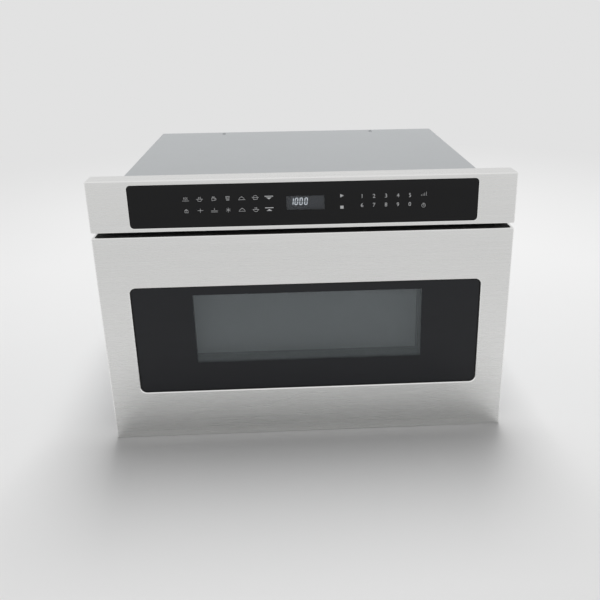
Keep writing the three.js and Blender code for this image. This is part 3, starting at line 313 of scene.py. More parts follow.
def screen_metal():
    """Painted steel with fine holes in a hexagonal pattern, and a plain border at the right and
    bottom, painted darker as shade.
    """
    s = Shader("screen", (0.84, 0.9, 0.94), roughness=0.6)
    pitch = HOLE_PITCH * MM
    grid = s.axes((1 / pitch, 1, 1 / (pitch * math.sqrt(3))))

    def off_middle(output, shift):
        return s.math("SUBTRACT", s.math("FRACT", s.math("ADD", output, shift)), 0.5)

    holes = []
    for shift in (0.0, 0.5):
        dx = off_middle(grid[0], shift)
        dz = s.math("MULTIPLY", off_middle(grid[2], shift), math.sqrt(3))
        squares = s.math("ADD", s.math("MULTIPLY", dx, dx), s.math("MULTIPLY", dz, dz))
        holes.append(s.math("SQRT", squares))
    metal = s.spread(s.math("MINIMUM", *holes), 0.0, 1.0, *HOLE_RIM)
    whole = s.axes()
    field = []
    for output, side in ((whole[0], HOLED_X), (whole[2], HOLED_Z)):
        off = s.math("ABSOLUTE", s.math("SUBTRACT", output, middle(side) * MM))
        field.append(s.math("LESS_THAN", off, (side[1] - side[0]) / 2 * MM))
    cloud = s.noise(6)
    holed = s.mix(metal, s.tint(0.3), s.mix(cloud, s.tint(0.96), s.tint(1.04)))
    # Outside the holed field the screen takes a much darker tint: painted shade along the surround
    s.color_link(s.mix(s.math("MULTIPLY", *field), s.tint(0.33), holed))
    s.gloss(cloud, 0.5, 0.7)
    s.bump(metal, depth=0.2)
    return s.material


def wound(name, color, axis, pitch, depth, metallic, roughness):
    """Rows of wire, or a stack of sheets: ridges of that pitch and depth across one axis, with
    painted shade darkening each groove.
    """
    s = Shader(name, color, roughness, metallic)
    along = s.axes((1 / (pitch * MM),) * 3)[axis]
    ridge_and_groove_shade = s.math("ABSOLUTE", s.math("SUBTRACT", s.math("FRACT", along), 0.5))
    cloud = s.noise(60)
    # Colour darkens down into each groove: painted shade, with a random cloudy tone over it
    s.paint(s.total((ridge_and_groove_shade, 1.2), (cloud, 0.4)), dark=0.6, light=1.15)
    s.gloss(cloud, roughness - 0.05, roughness + 0.12)
    s.bump(ridge_and_groove_shade, depth, EDGE)
    return s.material


def circuit_board():
    """Green lacquer over straight copper tracks."""
    s = Shader("circuit_board", (0.06, 0.2, 0.1), roughness=0.45)
    axes = s.axes()
    flat = s.node("CombineXYZ", X=axes[0], Y=axes[2]).outputs[0]
    tracks = s.node(
        "TexBrick", {"offset": 0.37, "squash": 0.7},
        Vector=flat, Scale=60.0, Mortar_Size=0.06, Row_Height=0.11, Brick_Width=0.9,
    ).outputs["Fac"]
    s.color_link(s.mix(tracks, s.tint(0.85), (0.16, 0.36, 0.2, 1)))
    s.gloss(s.noise(80), 0.38, 0.55)
    s.bump(tracks, depth=0.04, edge=EDGE)
    return s.material


def mica():
    """Pressed flakes."""
    s = Shader("mica", (0.52, 0.42, 0.29), roughness=0.55)
    flakes = s.cells(160)
    s.paint(s.channel(flakes["Color"], 1), dark=0.8, light=1.15)
    s.bump(flakes["Distance"], depth=0.05, edge=EDGE)
    return s.material


def glowing(name, color, strength):
    """Lit segments whose light is a little uneven."""
    bright = (*color, 1)
    dim = (*(c * 0.92 for c in color), 1)
    s = Shader(name, (0.02, 0.02, 0.02), 0.5, Emission_Color=bright, Emission_Strength=strength)
    lit = s.mix(s.noise(200, detail=1), dim, bright)
    s.feed(s.surface.inputs["Emission Color"], lit)
    return s.material


def printed(name, color):
    """Opaque ceramic print, with tiny differences in its cover."""
    s = Shader(name, color, roughness=0.5)
    s.paint(s.noise(900, detail=1), dark=0.86, light=1.05)
    s.bump(s.noise(1500, detail=1), depth=0.005)
    return s.material


STEEL = stainless("stainless", (0.85, 0.85, 0.84), roughness=0.28)
# A lighter, smoother copy of the stainless for the folds: a painted highlight along each fold line
HIGHLIGHT_STEEL = stainless("painted_highlight_steel", (0.97, 0.97, 0.96), roughness=0.2)
ZINC = galvanised("galvanised", (0.45, 0.465, 0.475))
ENAMEL = painted("enamel", (0.52, 0.515, 0.5), roughness=0.35, speckle=0.45)
BLACK_GLASS = glass("black_glass", (0.013, 0.013, 0.014), shine=0.2)
WINDOW_PRINT = glass("window_print", (0.021, 0.0225, 0.0265), shine=0.28)
DISPLAY_GLASS = glass("display_glass", (0.155, 0.162, 0.173), shine=0.2, alpha=0.42)
TINTED_GLASS = glass("tinted_glass", (0.225, 0.255, 0.265), shine=0.26, alpha=0.35)
CLEAR_GLASS = glass("clear_glass", (0.5, 0.56, 0.58), shine=0.5, alpha=0.12, roughness=0.03)
SCREEN = screen_metal()
BLACK = plastic("black_plastic", (0.022, 0.022, 0.024), roughness=0.5)
GREY = plastic("grey_plastic", (0.13, 0.13, 0.135), roughness=0.6)
# Black for the strips that stand in for shade in the gap and round the window glass: painted shade
SHADE_BLACK = plastic("shade_black", (0.01, 0.01, 0.01), roughness=0.85, grain=700)
WHITE = plastic("white_plastic", (0.7, 0.7, 0.68), roughness=0.4)
CERAMIC = painted("ceramic", (0.78, 0.77, 0.73), roughness=0.2, edge=0)
COPPER = wound(
    "copper", (0.6, 0.27, 0.1), axis=2, pitch=1.4, depth=0.4, metallic=0.8, roughness=0.4,
)
LAMINATIONS = wound(
    "laminations", (0.2, 0.21, 0.225), axis=1, pitch=0.9, depth=0.15, metallic=0.6, roughness=0.5,
)
ALUMINIUM = galvanised("aluminium", (0.74, 0.75, 0.76))
BOARD = circuit_board()
MICA = mica()
DISPLAY = painted("display", (0.1, 0.125, 0.16), roughness=0.3, edge=0)
LIT = glowing("lit_digits", (0.86, 0.93, 1.0), strength=2.2)
PRINT = printed("print", (0.82, 0.83, 0.84))

SLOT_MATERIALS = {
    "aluminium": ALUMINIUM,
    "black_plastic": BLACK,
    "ceramic": CERAMIC,
    "circuit_board": BOARD,
    "clear_glass": CLEAR_GLASS,
    "control_glass": BLACK_GLASS,
    "copper": COPPER,
    "display": DISPLAY,
    "enamel": ENAMEL,
    "galvanised": ZINC,
    "grey_plastic": GREY,
    "laminations": LAMINATIONS,
    "mica": MICA,
    "screen": SCREEN,
    "stainless": STEEL,
    "white_plastic": WHITE,
    "window_glass": TINTED_GLASS,
}
for part in frame["record"]["subparts"]:
    mesh = frame["nodes"][part["node"]].data
    mesh.materials.clear()
    mesh.materials.append(SLOT_MATERIALS[part["material_slot"]])

# -------------------------------------------------- mesh building


def rounded(across, up, radius, steps=6):
    """Points of a rounded rectangle, as many for each size, so that two of them can be joined."""
    points = []
    corners = ((1, 0, -90), (1, 1, 0), (0, 1, 90), (0, 0, 180))
    for side, top, start in corners:
        a = across[side] + (-radius if side else radius)
        b = up[top] + (-radius if top else radius)
        for i in range(steps + 1):
            angle = math.radians(start + 90 * i / steps)
            points.append((a + radius * math.cos(angle), b + radius * math.sin(angle)))
    return points


def upright(x, z, y, radius):
    """A rounded rectangle that faces the front, at depth y."""
    return [(a, y, b) for a, b in rounded(x, z, radius)]


def level(x, y, z, radius):
    """A rounded rectangle that lies flat, at height z."""
    return [(a, b, z) for a, b in rounded(x, y, radius)]


def arc(centre, radius, start, end, steps=10):
    angles = [math.radians(start + (end - start) * i / steps) for i in range(steps + 1)]
    return [(centre[0] + radius * math.cos(a), centre[1] + radius * math.sin(a)) for a in angles]


def ring(centre, radius, count=24):
    return arc(centre, radius, 0, 360 - 360 / count, count - 1)


SMOOTH = 35.0


def piece_from(name, bm, body, materials, replaces=(), smooth=SMOOTH, closed=True):
    """Makes a piece from mesh code in millimetres. Faces stay sharp above smooth degrees."""
    if closed:
        bmesh.ops.recalc_face_normals(bm, faces=bm.faces)
    for vertex in bm.verts:
        vertex.co *= MM
    mesh = bpy.data.meshes.new(name)
    bm.to_mesh(mesh)
    bm.free()
    for material in materials:
        mesh.materials.append(material)
    mesh.shade_smooth()
    mesh.set_sharp_from_angle(angle=math.radians(smooth))
    piece = bpy.data.objects.new(name, mesh)
    scene.collection.objects.link(piece)
    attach(piece, body)
    if replaces:
        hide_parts(*replaces)
    return piece


def loft_into(bm, loops, bands=None, caps=(0, 0)):
    """Joins each loop to the next with quads. bands gives a band's material index. caps closes an
    end with the index given, or leaves it open for None. With caps None the last loop is joined to
    the first."""
    rings = [[bm.verts.new(point) for point in loop] for loop in loops]
    count = len(rings[0])
    pairs = list(zip(rings, rings[1:]))
    if caps is None:
        pairs.append((rings[-1], rings[0]))
    for number, (near, far) in enumerate(pairs):
        for i in range(count):
            j = (i + 1) % count
            face = bm.faces.new((near[i], near[j], far[j], far[i]))
            face.material_index = (bands or {}).get(number, 0)
    for end, index in zip((rings[0], rings[-1]), caps or ()):
        if index is not None:
            bm.faces.new(end).material_index = index


def edge_steps(count=3):
    """Cosine and sine along a quarter of a circle."""
    for i in range(count + 1):
        angle = math.pi / 2 * i / count
        yield math.cos(angle), math.sin(angle)


def slab_loops(make, across, up, ends, corner, edge):
    """Loops of a slab with rounded edges, from its first face to its second."""

    def loop(inset, depth):
        return make(grown(across, -inset), grown(up, -inset), depth, corner - inset)

    near, far = ends
    first = [loop(edge * (1 - sin), near + edge * (1 - cos)) for cos, sin in edge_steps()]
    second = [loop(edge * (1 - sin), far - edge * (1 - cos)) for sin, cos in edge_steps()]
    return first + second


def facing_up(bm, pick):
    """Turns an open surface so that its highest or lowest face looks up, as pick is max or min."""
    bmesh.ops.recalc_face_normals(bm, faces=bm.faces)
    chosen = pick(bm.faces, key=lambda face: face.calc_center_median().z)
    if chosen.normal.z < 0:
        bmesh.ops.reverse_faces(bm, faces=bm.faces)


def weighted(piece):
    piece.modifiers.new("normals", "WEIGHTED_NORMAL").keep_sharp = True


def solidified(piece, thickness):
    """Gives a surface its sheet's thickness, on the side that its faces look away from."""
    wall = piece.modifiers.new("sheet", "SOLIDIFY")
    wall.thickness = thickness * MM
    wall.offset = -1
    wall.use_even_offset = True


def applied(piece):
    """Turns a piece's modifiers into its mesh."""
    bpy.context.view_layer.update()
    evaluated = piece.evaluated_get(bpy.context.evaluated_depsgraph_get())
    mesh = bpy.data.meshes.new_from_object(evaluated)
    piece.modifiers.clear()
    old = piece.data
    piece.data = mesh
    bpy.data.meshes.remove(old)
    mesh.name = piece.name


def cut_out(piece, outlines, place):
    """Cuts prisms through a piece. Each outline has a prism's points and its two ends, and place
    makes a point of an end and two coordinates."""
    bm = bmesh.new()
    for points, *ends in outlines:
        loft_into(bm, [[place(end, a, b) for a, b in points] for end in ends])
    cutter = piece_from(piece.name + "_cutter", bm, "body", [STEEL])
    hole = piece.modifiers.new("holes", "BOOLEAN")
    hole.operation = "DIFFERENCE"
    hole.solver = "EXACT"
    hole.use_self = False
    hole.object = cutter
    applied(piece)
    piece.data.set_sharp_from_angle(angle=math.radians(SMOOTH))
    bpy.data.objects.remove(cutter)


# -------------------------------------------------- steel front: two folded pans with a cut-out

FOLD, FOLD_STEPS = 1.5, 4
PAN_CORNER, LEAST_CORNER = 1.9, 0.2
HOLE_FOLD_STEPS = 3
CONTROL_FOLD, WINDOW_FOLD = 0.8, 1.8


def folded_pan(name, node, hole, hole_fold, hole_depth, body):
    """A face whose sheet is folded back all round, and again into the cut-out, each with its own
    radius. The sheet's outer skin is drawn first, then its inner skin back to the start."""
    x, y, z = reach(node)
    hole_x, hole_z, hole_radius = hole

    def outline(inset, depth):
        corner = max(PAN_CORNER - inset, LEAST_CORNER)
        return upright(grown(x, -inset), grown(z, -inset), y[0] + depth, corner)

    def opening(out, depth):
        return upright(grown(hole_x, out), grown(hole_z, out), y[0] + depth, hole_radius + out)

    loops = [outline(0, y[1] - y[0])]
    loops += [outline(FOLD * (1 - cos), FOLD * (1 - sin)) for cos, sin in edge_steps(FOLD_STEPS)]
    loops += [
        opening(hole_fold * (1 - sin), hole_fold * (1 - cos))
        for cos, sin in edge_steps(HOLE_FOLD_STEPS)
    ]
    loops.append(opening(0, hole_depth))
    if hole_depth > SHEET:
        loops += [opening(SHEET, hole_depth), opening(SHEET, SHEET)]
    inner = FOLD - SHEET
    loops += [
        outline(SHEET + inner * (1 - cos), SHEET + inner * (1 - sin))
        for sin, cos in edge_steps(2)
    ]
    loops.append(outline(SHEET, y[1] - y[0]))
    # The outer fold and the cut-out's fold take the lighter steel: a painted highlight
    first_hole_band = FOLD_STEPS + 2
    highlight_bands = (
        *range(1, 1 + FOLD_STEPS), *range(first_hole_band, first_hole_band + HOLE_FOLD_STEPS),
    )
    bm = bmesh.new()
    loft_into(bm, loops, dict.fromkeys(highlight_bands, 1), caps=None)
    weighted(piece_from(name, bm, body, [STEEL, HIGHLIGHT_STEEL], [node]))


def make_front():
    control = (CONTROL_X, CONTROL_Z, CONTROL_RADIUS)
    window = (WINDOW_X, WINDOW_Z, WINDOW_RADIUS)
    folded_pan("fascia_pan", "control_fascia", control, CONTROL_FOLD, SHEET, "body")
    folded_pan("drawer_pan", "drawer_front", window, WINDOW_FOLD, WINDOW_FLANGE, "drawer")


# A black strip fills the corner between the window glass and the steel round it: painted shade, a
# dark line where that corner is in shadow
SHADOW_LINE_WIDTH, SHADOW_LINE_THICK = 1.1, 1.1
SHADOW_LINE_BEVEL = 0.3
SHADOW_LINE_GAP = 0.02


def make_shadow_line():
    near, far = GLASS_Y[0] - SHADOW_LINE_THICK, GLASS_Y[0] - SHADOW_LINE_GAP
    section = (
        (SHADOW_LINE_GAP, far),
        (SHADOW_LINE_GAP, near),
        (SHADOW_LINE_WIDTH - SHADOW_LINE_BEVEL, near),
        (SHADOW_LINE_WIDTH, near + SHADOW_LINE_BEVEL),
        (SHADOW_LINE_WIDTH, far),
    )
    bm = bmesh.new()
    loft_into(bm, [
        upright(grown(WINDOW_X, -inset), grown(WINDOW_Z, -inset), depth, WINDOW_RADIUS - inset)
        for inset, depth in section
    ], caps=None)
    weighted(piece_from("window_shadow_line", bm, "drawer", [SHADE_BLACK]))


# The drawer's upper edge carries a black strip under the fascia: painted shade, which keeps the gap
# there dark
SHADE_STRIP_SETBACK = 3.6
SHADE_STRIP_INSET = 4.5
SHADE_STRIP_THICK = 0.6
SHADE_STRIP_CORNER, SHADE_STRIP_EDGE = 1.0, 0.2


def make_gap_shade_strip():
    x = grown(DRAWER_X, -SHADE_STRIP_INSET)
    y = grown(DRAWER_Y, -SHADE_STRIP_SETBACK)
    z = (DRAWER_Z[1], DRAWER_Z[1] + SHADE_STRIP_THICK)
    bm = bmesh.new()
    loft_into(bm, slab_loops(level, x, y, z, SHADE_STRIP_CORNER, SHADE_STRIP_EDGE))
    piece_from("gap_shade_strip", bm, "drawer", [SHADE_BLACK])


# -------------------------------------------------- glass

GLASS_EDGE = 0.4
# The print's openings, as the photograph shows them: each x, z and corner radius
DISPLAY_OPENING = (DISPLAY_X, (DISPLAY_Z[0], DISPLAY_Z[1] - 0.8), 1.0)
VIEW_OPENING = ((VIEW_X[0] + 2.5, VIEW_X[1] + 1.1), (VIEW_Z[0] - 0.7, VIEW_Z[1]), 0.6)


def glass_slab(name, node, x, z, corner, opening, materials, body):
    """Black printed glass with a rectangle left clear: materials are the print and the clear
    part. The record has a material slot of the node's own name."""
    y = reach(node)[1]
    clear_x, clear_z, clear_corner = opening
    front, back = (upright(clear_x, clear_z, depth, clear_corner) for depth in y)
    bm = bmesh.new()
    loft_into(bm, [front, *slab_loops(upright, x, z, y, corner, GLASS_EDGE), back], caps=(1, 1))
    weighted(piece_from(name, bm, body, materials, [node]))


def make_glass():
    glass_slab(
        "control_panel_glass", "control_glass", PANE_X, PANE_Z, CONTROL_RADIUS - CONTROL_FIT,
        DISPLAY_OPENING, [BLACK_GLASS, DISPLAY_GLASS], "body",
    )
    glass_slab(
        "door_glass", "window_glass", GLASS_X, GLASS_Z, WINDOW_RADIUS,
        VIEW_OPENING, [WINDOW_PRINT, TINTED_GLASS], "drawer",
    )


# -------------------------------------------------- clock, digits and signs on the control glass

SIGN_Y = KEYS_Y[0]
SIGN_DEPTH = 0.04
SIGN_LIFT = 0.005
LAYER_STEP = 0.004
LINE = 0.48
LEAST_MITRE = 0.5

COLUMNS = (-166.3, -146.8, -127.1, -107.7, -88.2, -69.0, -50.0)
ROWS = (363.3, 346.9)
START_X = 52.7
LAST_X = 169.4
SIGN_SIZE = 3.1
UPPER_SIGNS = ("reheat", "soup", "drink", "snack", "meal", "oven")
LOWER_SIGNS = ("lock", "more", "warm", "frost", "meal", "soup")
LAST_SIGNS = ("level", "timer")
BOLD_SIGNS = (("out", "go"), ("in", "stop"))
BOLD_SIZE = {"out": 3.7, "in": 3.7, "go": 2.9, "stop": 2.9}


class Signs:
    """Thin printed shapes that lie on the glass."""

    def __init__(self):
        self.bm = bmesh.new()

    def plate(self, points):
        depths = (SIGN_Y - SIGN_DEPTH, SIGN_Y - SIGN_LIFT)
        loft_into(self.bm, [[(a, depth, b) for a, b in points] for depth in depths])

    def line(self, points, at, layer):
        """A drawn line of constant width through points, given in units of a sign's size from the
        point at. Each layer lies a hair in front of the last, so that lines can cross."""
        path = [Vector((at[0] + SIGN_SIZE * a, at[1] + SIGN_SIZE * b)) for a, b in points]
        near = SIGN_Y - SIGN_DEPTH - layer * LAYER_STEP
        far = SIGN_Y - SIGN_LIFT - layer * LAYER_STEP / 2
        sections = []
        for i, point in enumerate(path):
            before = (point - path[i - 1]).normalized() if i else None
            after = (path[i + 1] - point).normalized() if i + 1 < len(path) else None
            way = ((before or after) + (after or before)).normalized()
            mitre = max(way.dot(after or before), LEAST_MITRE)
            side = Vector((-way.y, way.x)) * LINE / 2 / mitre
            if before is None:
                point = point - way * LINE / 2
            if after is None:
                point = point + way * LINE / 2
            left, right = point + side, point - side
            sections.append([
                (left.x, near, left.y), (right.x, near, right.y),
                (right.x, far, right.y), (left.x, far, left.y),
            ])
        loft_into(self.bm, sections)


def steam(x, low=-0.3, high=0.85, steps=8):
    """A rising wave."""
    rise = (high - low) / steps
    return [(x + 0.14 * math.sin(i * 0.95), low + rise * i) for i in range(steps + 1)]


def closed_line(*points):
    return [*points, points[0]]


def sign_shapes():
    """Plain pictures of cooking and timing: lists of lines, up to 1.6 to each side and 1 up and
    down."""
    table = [(-1.5, -0.75), (1.5, -0.75)]
    vapour = [steam(x) for x in (-0.75, -0.05, 0.65)]
    dome = arc((0, -0.75), 1.2, 15, 165)
    knob = arc((0, 0.55), 0.16, 0, 360)
    bowl = arc((0, 0.0), 1.1, 190, 350)
    brim = [(-1.4, -0.1), (1.4, -0.1)]
    pot = closed_line((-1.0, 0.1), (-0.85, -0.8), (0.85, -0.8), (1.0, 0.1))
    pot_brim = [(-1.5, 0.1), (1.5, 0.1)]
    lid = arc((0, 0.1), 0.95, 20, 160)
    mug = closed_line((-0.9, 0.3), (-0.8, -0.8), (0.5, -0.8), (0.6, 0.3))
    handle = arc((0.65, -0.25), 0.45, 80, -80)
    carton = closed_line((-0.8, 0.9), (-0.55, -0.85), (0.55, -0.85), (0.8, 0.9))
    stripes = [[(side * 0.3, 0.9), (side * 0.2, -0.85)] for side in (-1, 1)]
    padlock = closed_line((-0.75, -0.85), (-0.75, 0.15), (0.75, 0.15), (0.75, -0.85))
    shackle = arc((0, 0.15), 0.5, 0, 180)
    keyhole = [(0, -0.2), (0, -0.5)]
    spokes = [math.radians(30 + 60 * i) for i in range(3)]
    shelves = [[(-1.4, -0.8 + 0.55 * i), (1.4, -0.8 + 0.55 * i)] for i in range(2)]
    watch = arc((0, -0.1), 0.85, 90, 450, 20)
    hands = [(0, 0.4), (0, -0.1), (0.4, -0.3)]
    crown = [(-0.3, 1), (0.3, 1)]
    bars = enumerate((-1.1, -0.35, 0.4, 1.15))
    return {
        "reheat": [table, *vapour],
        "soup": [bowl, brim, steam(-0.35, 0.15), steam(0.35, 0.15)],
        "drink": [mug, handle, steam(-0.4, 0.5, 1.0), steam(0.15, 0.5, 1.0)],
        "snack": [carton, *stripes],
        "meal": [table, dome, knob],
        "oven": [pot, pot_brim, lid],
        "lock": [padlock, shackle, keyhole],
        "frost": [[(math.cos(a), math.sin(a)), (-math.cos(a), -math.sin(a))] for a in spokes],
        "warm": [*shelves, steam(0, 0.1, 0.95)],
        "timer": [watch, hands, crown],
        "level": [[(x, -0.85), (x, -0.4 + 0.4 * i)] for i, x in bars],
        "more": [[(-1.2, 0), (1.2, 0)], [(0, -0.85), (0, 0.85)]],
    }


def bold_shapes():
    """The four bold signs, as filled outlines: drawer out, drawer in, go and stop."""
    bar = [(-1.6, 0.62), (-1.6, 0.3), (1.6, 0.3), (1.6, 0.62)]
    return {
        "out": [bar, [(-1.1, 0.0), (0, -0.75), (1.1, 0.0)]],
        "in": [bar, [(-1.1, -0.75), (0, 0.0), (1.1, -0.75)]],
        "go": [[(-0.8, 0.85), (-0.8, -0.85), (1.0, 0)]],
        "stop": [[(-0.8, 0.75), (-0.8, -0.75), (0.8, -0.75), (0.8, 0.75)]],
    }


def make_signs():
    shapes = sign_shapes()
    signs = Signs()

    def draw(name, x, z):
        for layer, points in enumerate(shapes[name]):
            signs.line(points, (x, z), layer)

    for z, names in zip(ROWS, (UPPER_SIGNS, LOWER_SIGNS)):
        for x, name in zip(COLUMNS, names):
            draw(name, x, z)
    bold = bold_shapes()
    for z, names in zip(ROWS, BOLD_SIGNS):
        for x, name in zip((COLUMNS[-1], START_X), names):
            size = BOLD_SIZE[name]
            for outline in bold[name]:
                signs.plate([(x + size * a, z + size * b) for a, b in outline])
    for z, name in zip(ROWS, LAST_SIGNS):
        draw(name, LAST_X, z)
    piece_from("control_signs", signs.bm, "body", [PRINT])


DIGIT_COLUMNS = (81.4, 98.4, 115.5, 132.6, 149.6)
DIGIT_ROWS = (361.6, 348.8)
DIGIT_HEIGHT = 5.8
# A digit's height as a share of the font's size
FONT_SHARE = 0.73


def text_mesh(name, text, height):
    """A text's outline as a thin mesh, with its middle at the origin."""
    curve = bpy.data.curves.new(name, "FONT")
    curve.body = text
    curve.align_x, curve.align_y = "CENTER", "CENTER"
    curve.size = height / FONT_SHARE
    curve.extrude = SIGN_DEPTH / 2
    curve.resolution_u = 3
    made = bpy.data.objects.new(name, curve)
    scene.collection.objects.link(made)
    bpy.context.view_layer.update()
    evaluated = made.evaluated_get(bpy.context.evaluated_depsgraph_get())
    mesh = bpy.data.meshes.new_from_object(evaluated)
    bpy.data.objects.remove(made)
    return mesh


def make_digits():
    bm = bmesh.new()
    stand = Matrix.Rotation(math.pi / 2, 4, "X")
    for row, z in enumerate(DIGIT_ROWS):
        for column, x in enumerate(DIGIT_COLUMNS):
            digit = str((len(DIGIT_COLUMNS) * row + column + 1) % 10)
            mesh = text_mesh("digit_" + digit, digit, DIGIT_HEIGHT)
            at = (x, SIGN_Y - SIGN_DEPTH / 2 - SIGN_LIFT, z)
            mesh.transform(Matrix.Translation(at) @ stand)
            bm.from_mesh(mesh)
            bpy.data.meshes.remove(mesh)
    piece_from("keypad_digits", bm, "body", [PRINT])


# Segments of a clock digit, by their ends on a grid of 2 columns and 3 rows
SEGMENTS = {
    "top": ((0, 2), (1, 2)),
    "middle": ((0, 1), (1, 1)),
    "bottom": ((0, 0), (1, 0)),
    "upper_left": ((0, 1), (0, 2)),
    "upper_right": ((1, 1), (1, 2)),
    "lower_left": ((0, 0), (0, 1)),
    "lower_right": ((1, 0), (1, 1)),
}
ONE = ("upper_right", "lower_right")
ZERO = ("top", "bottom", "upper_left", "upper_right", "lower_left", "lower_right")
CLOCK_DIGITS = ((-20.0, ONE), (-13.8, ZERO), (-7.1, ZERO), (-0.1, ZERO))
CLOCK_Z = (351.0, 360.4)
CLOCK_WIDTH = 3.4
CLOCK_SLANT = 0.12
CLOCK_BEHIND, CLOCK_THICK = 0.1, 0.08
STROKE, STROKE_GAP = 0.48, 0.2
COLON_X = -8.8
COLON_HEIGHTS = (0.3, 0.7)
COLON_HALF_WIDTH, COLON_HALF_HEIGHT, COLON_RADIUS = 0.3, 0.35, 0.25


def make_clock():
    low, high = CLOCK_Z
    near = KEYS_Y[1] + CLOCK_BEHIND
    bm = bmesh.new()

    def plate(points):
        slanted = [(a + CLOCK_SLANT * (b - low), b) for a, b in points]
        loft_into(bm, [[(a, y, b) for a, b in slanted] for y in (near, near + CLOCK_THICK)])

    def segment(left, ends):
        start, end = (
            Vector((left + column * CLOCK_WIDTH, low + row * ((high - low) / 2)))
            for column, row in ends
        )
        way = (end - start).normalized()
        start, end = start + way * STROKE_GAP, end - way * STROKE_GAP
        side, inner = Vector((-way.y, way.x)) * STROKE, way * STROKE
        corners = (
            start, start + inner + side, end - inner + side,
            end, end - inner - side, start + inner - side,
        )
        plate([tuple(corner) for corner in corners])

    for left, lit in CLOCK_DIGITS:
        for name in lit:
            segment(left, SEGMENTS[name])
    for height in COLON_HEIGHTS:
        z = span(low + height * (high - low), COLON_HALF_HEIGHT)
        plate(rounded(span(COLON_X, COLON_HALF_WIDTH), z, COLON_RADIUS, steps=2))
    piece_from("clock_digits", bm, "body", [LIT])


# -------------------------------------------------- case, seen from above, the sides and behind

BEND, BEND_STEPS = 2.4, 5
SLOT_COUNT, SLOT_PITCH = 8, 12.0
SLOT_WIDTH, SLOT_Z = 5.0, (76.0, 146.0)
SLOT_LAST_Y = CASE_Y[1] - 40.0
# A hair less than half the width, so that no two points of a slot's round end meet
SLOT_RADIUS = SLOT_WIDTH / 2 - 0.01


def make_case():
    left, right = CASE_X[0] + BEND, CASE_X[1] - BEND
    profile = [(CASE_X[0], CASE_Z[0])]
    profile += arc((left, CASE_Z[1] - BEND), BEND, 180, 90, BEND_STEPS)
    profile += arc((right, CASE_Z[1] - BEND), BEND, 90, 0, BEND_STEPS)
    profile.append((CASE_X[1], CASE_Z[0]))
    bm = bmesh.new()
    front, back = ([bm.verts.new((a, y, b)) for a, b in profile] for y in CASE_Y)
    for i in range(len(profile) - 1):
        bm.faces.new((front[i], front[i + 1], back[i + 1], back[i]))
    facing_up(bm, max)
    case = piece_from(
        "case_wrap", bm, "body", [ZINC], ["outer_case"], closed=False,
    )
    solidified(case, SHEET)
    applied(case)
    slots = []
    for i in range(SLOT_COUNT):
        y = span(SLOT_LAST_Y - i * SLOT_PITCH, SLOT_WIDTH / 2)
        outline = rounded(y, SLOT_Z, SLOT_RADIUS, steps=5)
        slots += [(outline, *span(x, 2 * SHEET)) for x in CASE_X]
    cut_out(case, slots, lambda end, a, b: (end, a, b))
    weighted(case)


PANEL_CORNER, PANEL_EDGE = 3.0, 0.3
GLAND_AT = (middle(GLAND_X), middle(GLAND_Z))
GLAND_HOLE = 9.0
FAN_AT = (middle(FAN_X), middle(FAN_Z))
GRILLE_COUNT, GRILLE_PITCH, GRILLE_HOLE = 5, 21.0, 7.5


def make_rear():
    bm = bmesh.new()
    loft_into(bm, slab_loops(upright, PANEL_X, PANEL_Z, PANEL_Y, PANEL_CORNER, PANEL_EDGE))
    panel = piece_from("rear_cover", bm, "body", [ZINC], ["rear_panel"])
    through = grown(PANEL_Y, SHEET)
    holes = [(ring(GLAND_AT, GLAND_HOLE), *through)]
    half = GRILLE_COUNT // 2
    for row in range(-half, half + 1):
        for column in range(-half, half + 1):
            at = (FAN_AT[0] + column * GRILLE_PITCH, FAN_AT[1] + row * GRILLE_PITCH)
            holes.append((ring(at, GRILLE_HOLE), *through))
    cut_out(panel, holes, lambda end, a, b: (a, end, b))
    weighted(panel)


# -------------------------------------------------- tub and tray

TUB_CORNER = 6.0
TUB_FILLET = 2.4
TUB_LIP, TUB_LIP_DROP, TUB_LIP_EDGE = 2.0, 1.5, 0.4
TUB_ROLL = 1.0
TUB_AHEAD = 40.0
TRAY_EDGE = 1.6


def make_tub():
    """The inner skin of the tub, from its turned-out lip down. It is drawn too long at the front
    and cut off at the door."""
    lip = SHEET + TUB_LIP
    x = grown(TUB_X, -lip)
    y = (TUB_Y[0] - TUB_AHEAD, TUB_Y[1] - lip)

    def loop(out, z):
        return level(grown(x, out), grown(y, out), z, TUB_CORNER + out)

    floor, top = TUB_Z[0] + SHEET, TUB_Z[1]
    loops = [loop(lip, top - TUB_LIP_DROP + SHEET), loop(lip - TUB_LIP_EDGE, top)]
    loops += [loop(TUB_ROLL * (1 - sin), top - TUB_ROLL * (1 - cos)) for sin, cos in edge_steps()]
    loops += [
        loop(-TUB_FILLET * (1 - cos), floor + TUB_FILLET * (1 - sin)) for cos, sin in edge_steps()
    ]
    bm = bmesh.new()
    loft_into(bm, loops, caps=(None, 0))
    facing_up(bm, min)
    bmesh.ops.bisect_plane(
        bm, geom=bm.verts[:] + bm.edges[:] + bm.faces[:],
        plane_co=(0, TUB_Y[0], 0), plane_no=(0, -1, 0), clear_outer=True,
    )
    tub = piece_from("tub", bm, "drawer", [ENAMEL], ["drawer_tub"], closed=False)
    solidified(tub, SHEET)
    weighted(tub)


def make_tray():
    bm = bmesh.new()
    loft_into(bm, slab_loops(level, TRAY_X, TRAY_Y, TRAY_Z, TUB_CORNER, TRAY_EDGE))
    weighted(piece_from("tray", bm, "drawer", [CERAMIC], ["glass_tray"]))


# -------------------------------------------------- gland and screws


def joined(bm, near, far):
    """Joins two rings of points with quads."""
    count = len(near)
    for i in range(count):
        j = (i + 1) % count
        bm.faces.new((near[i], near[j], far[j], far[i]))


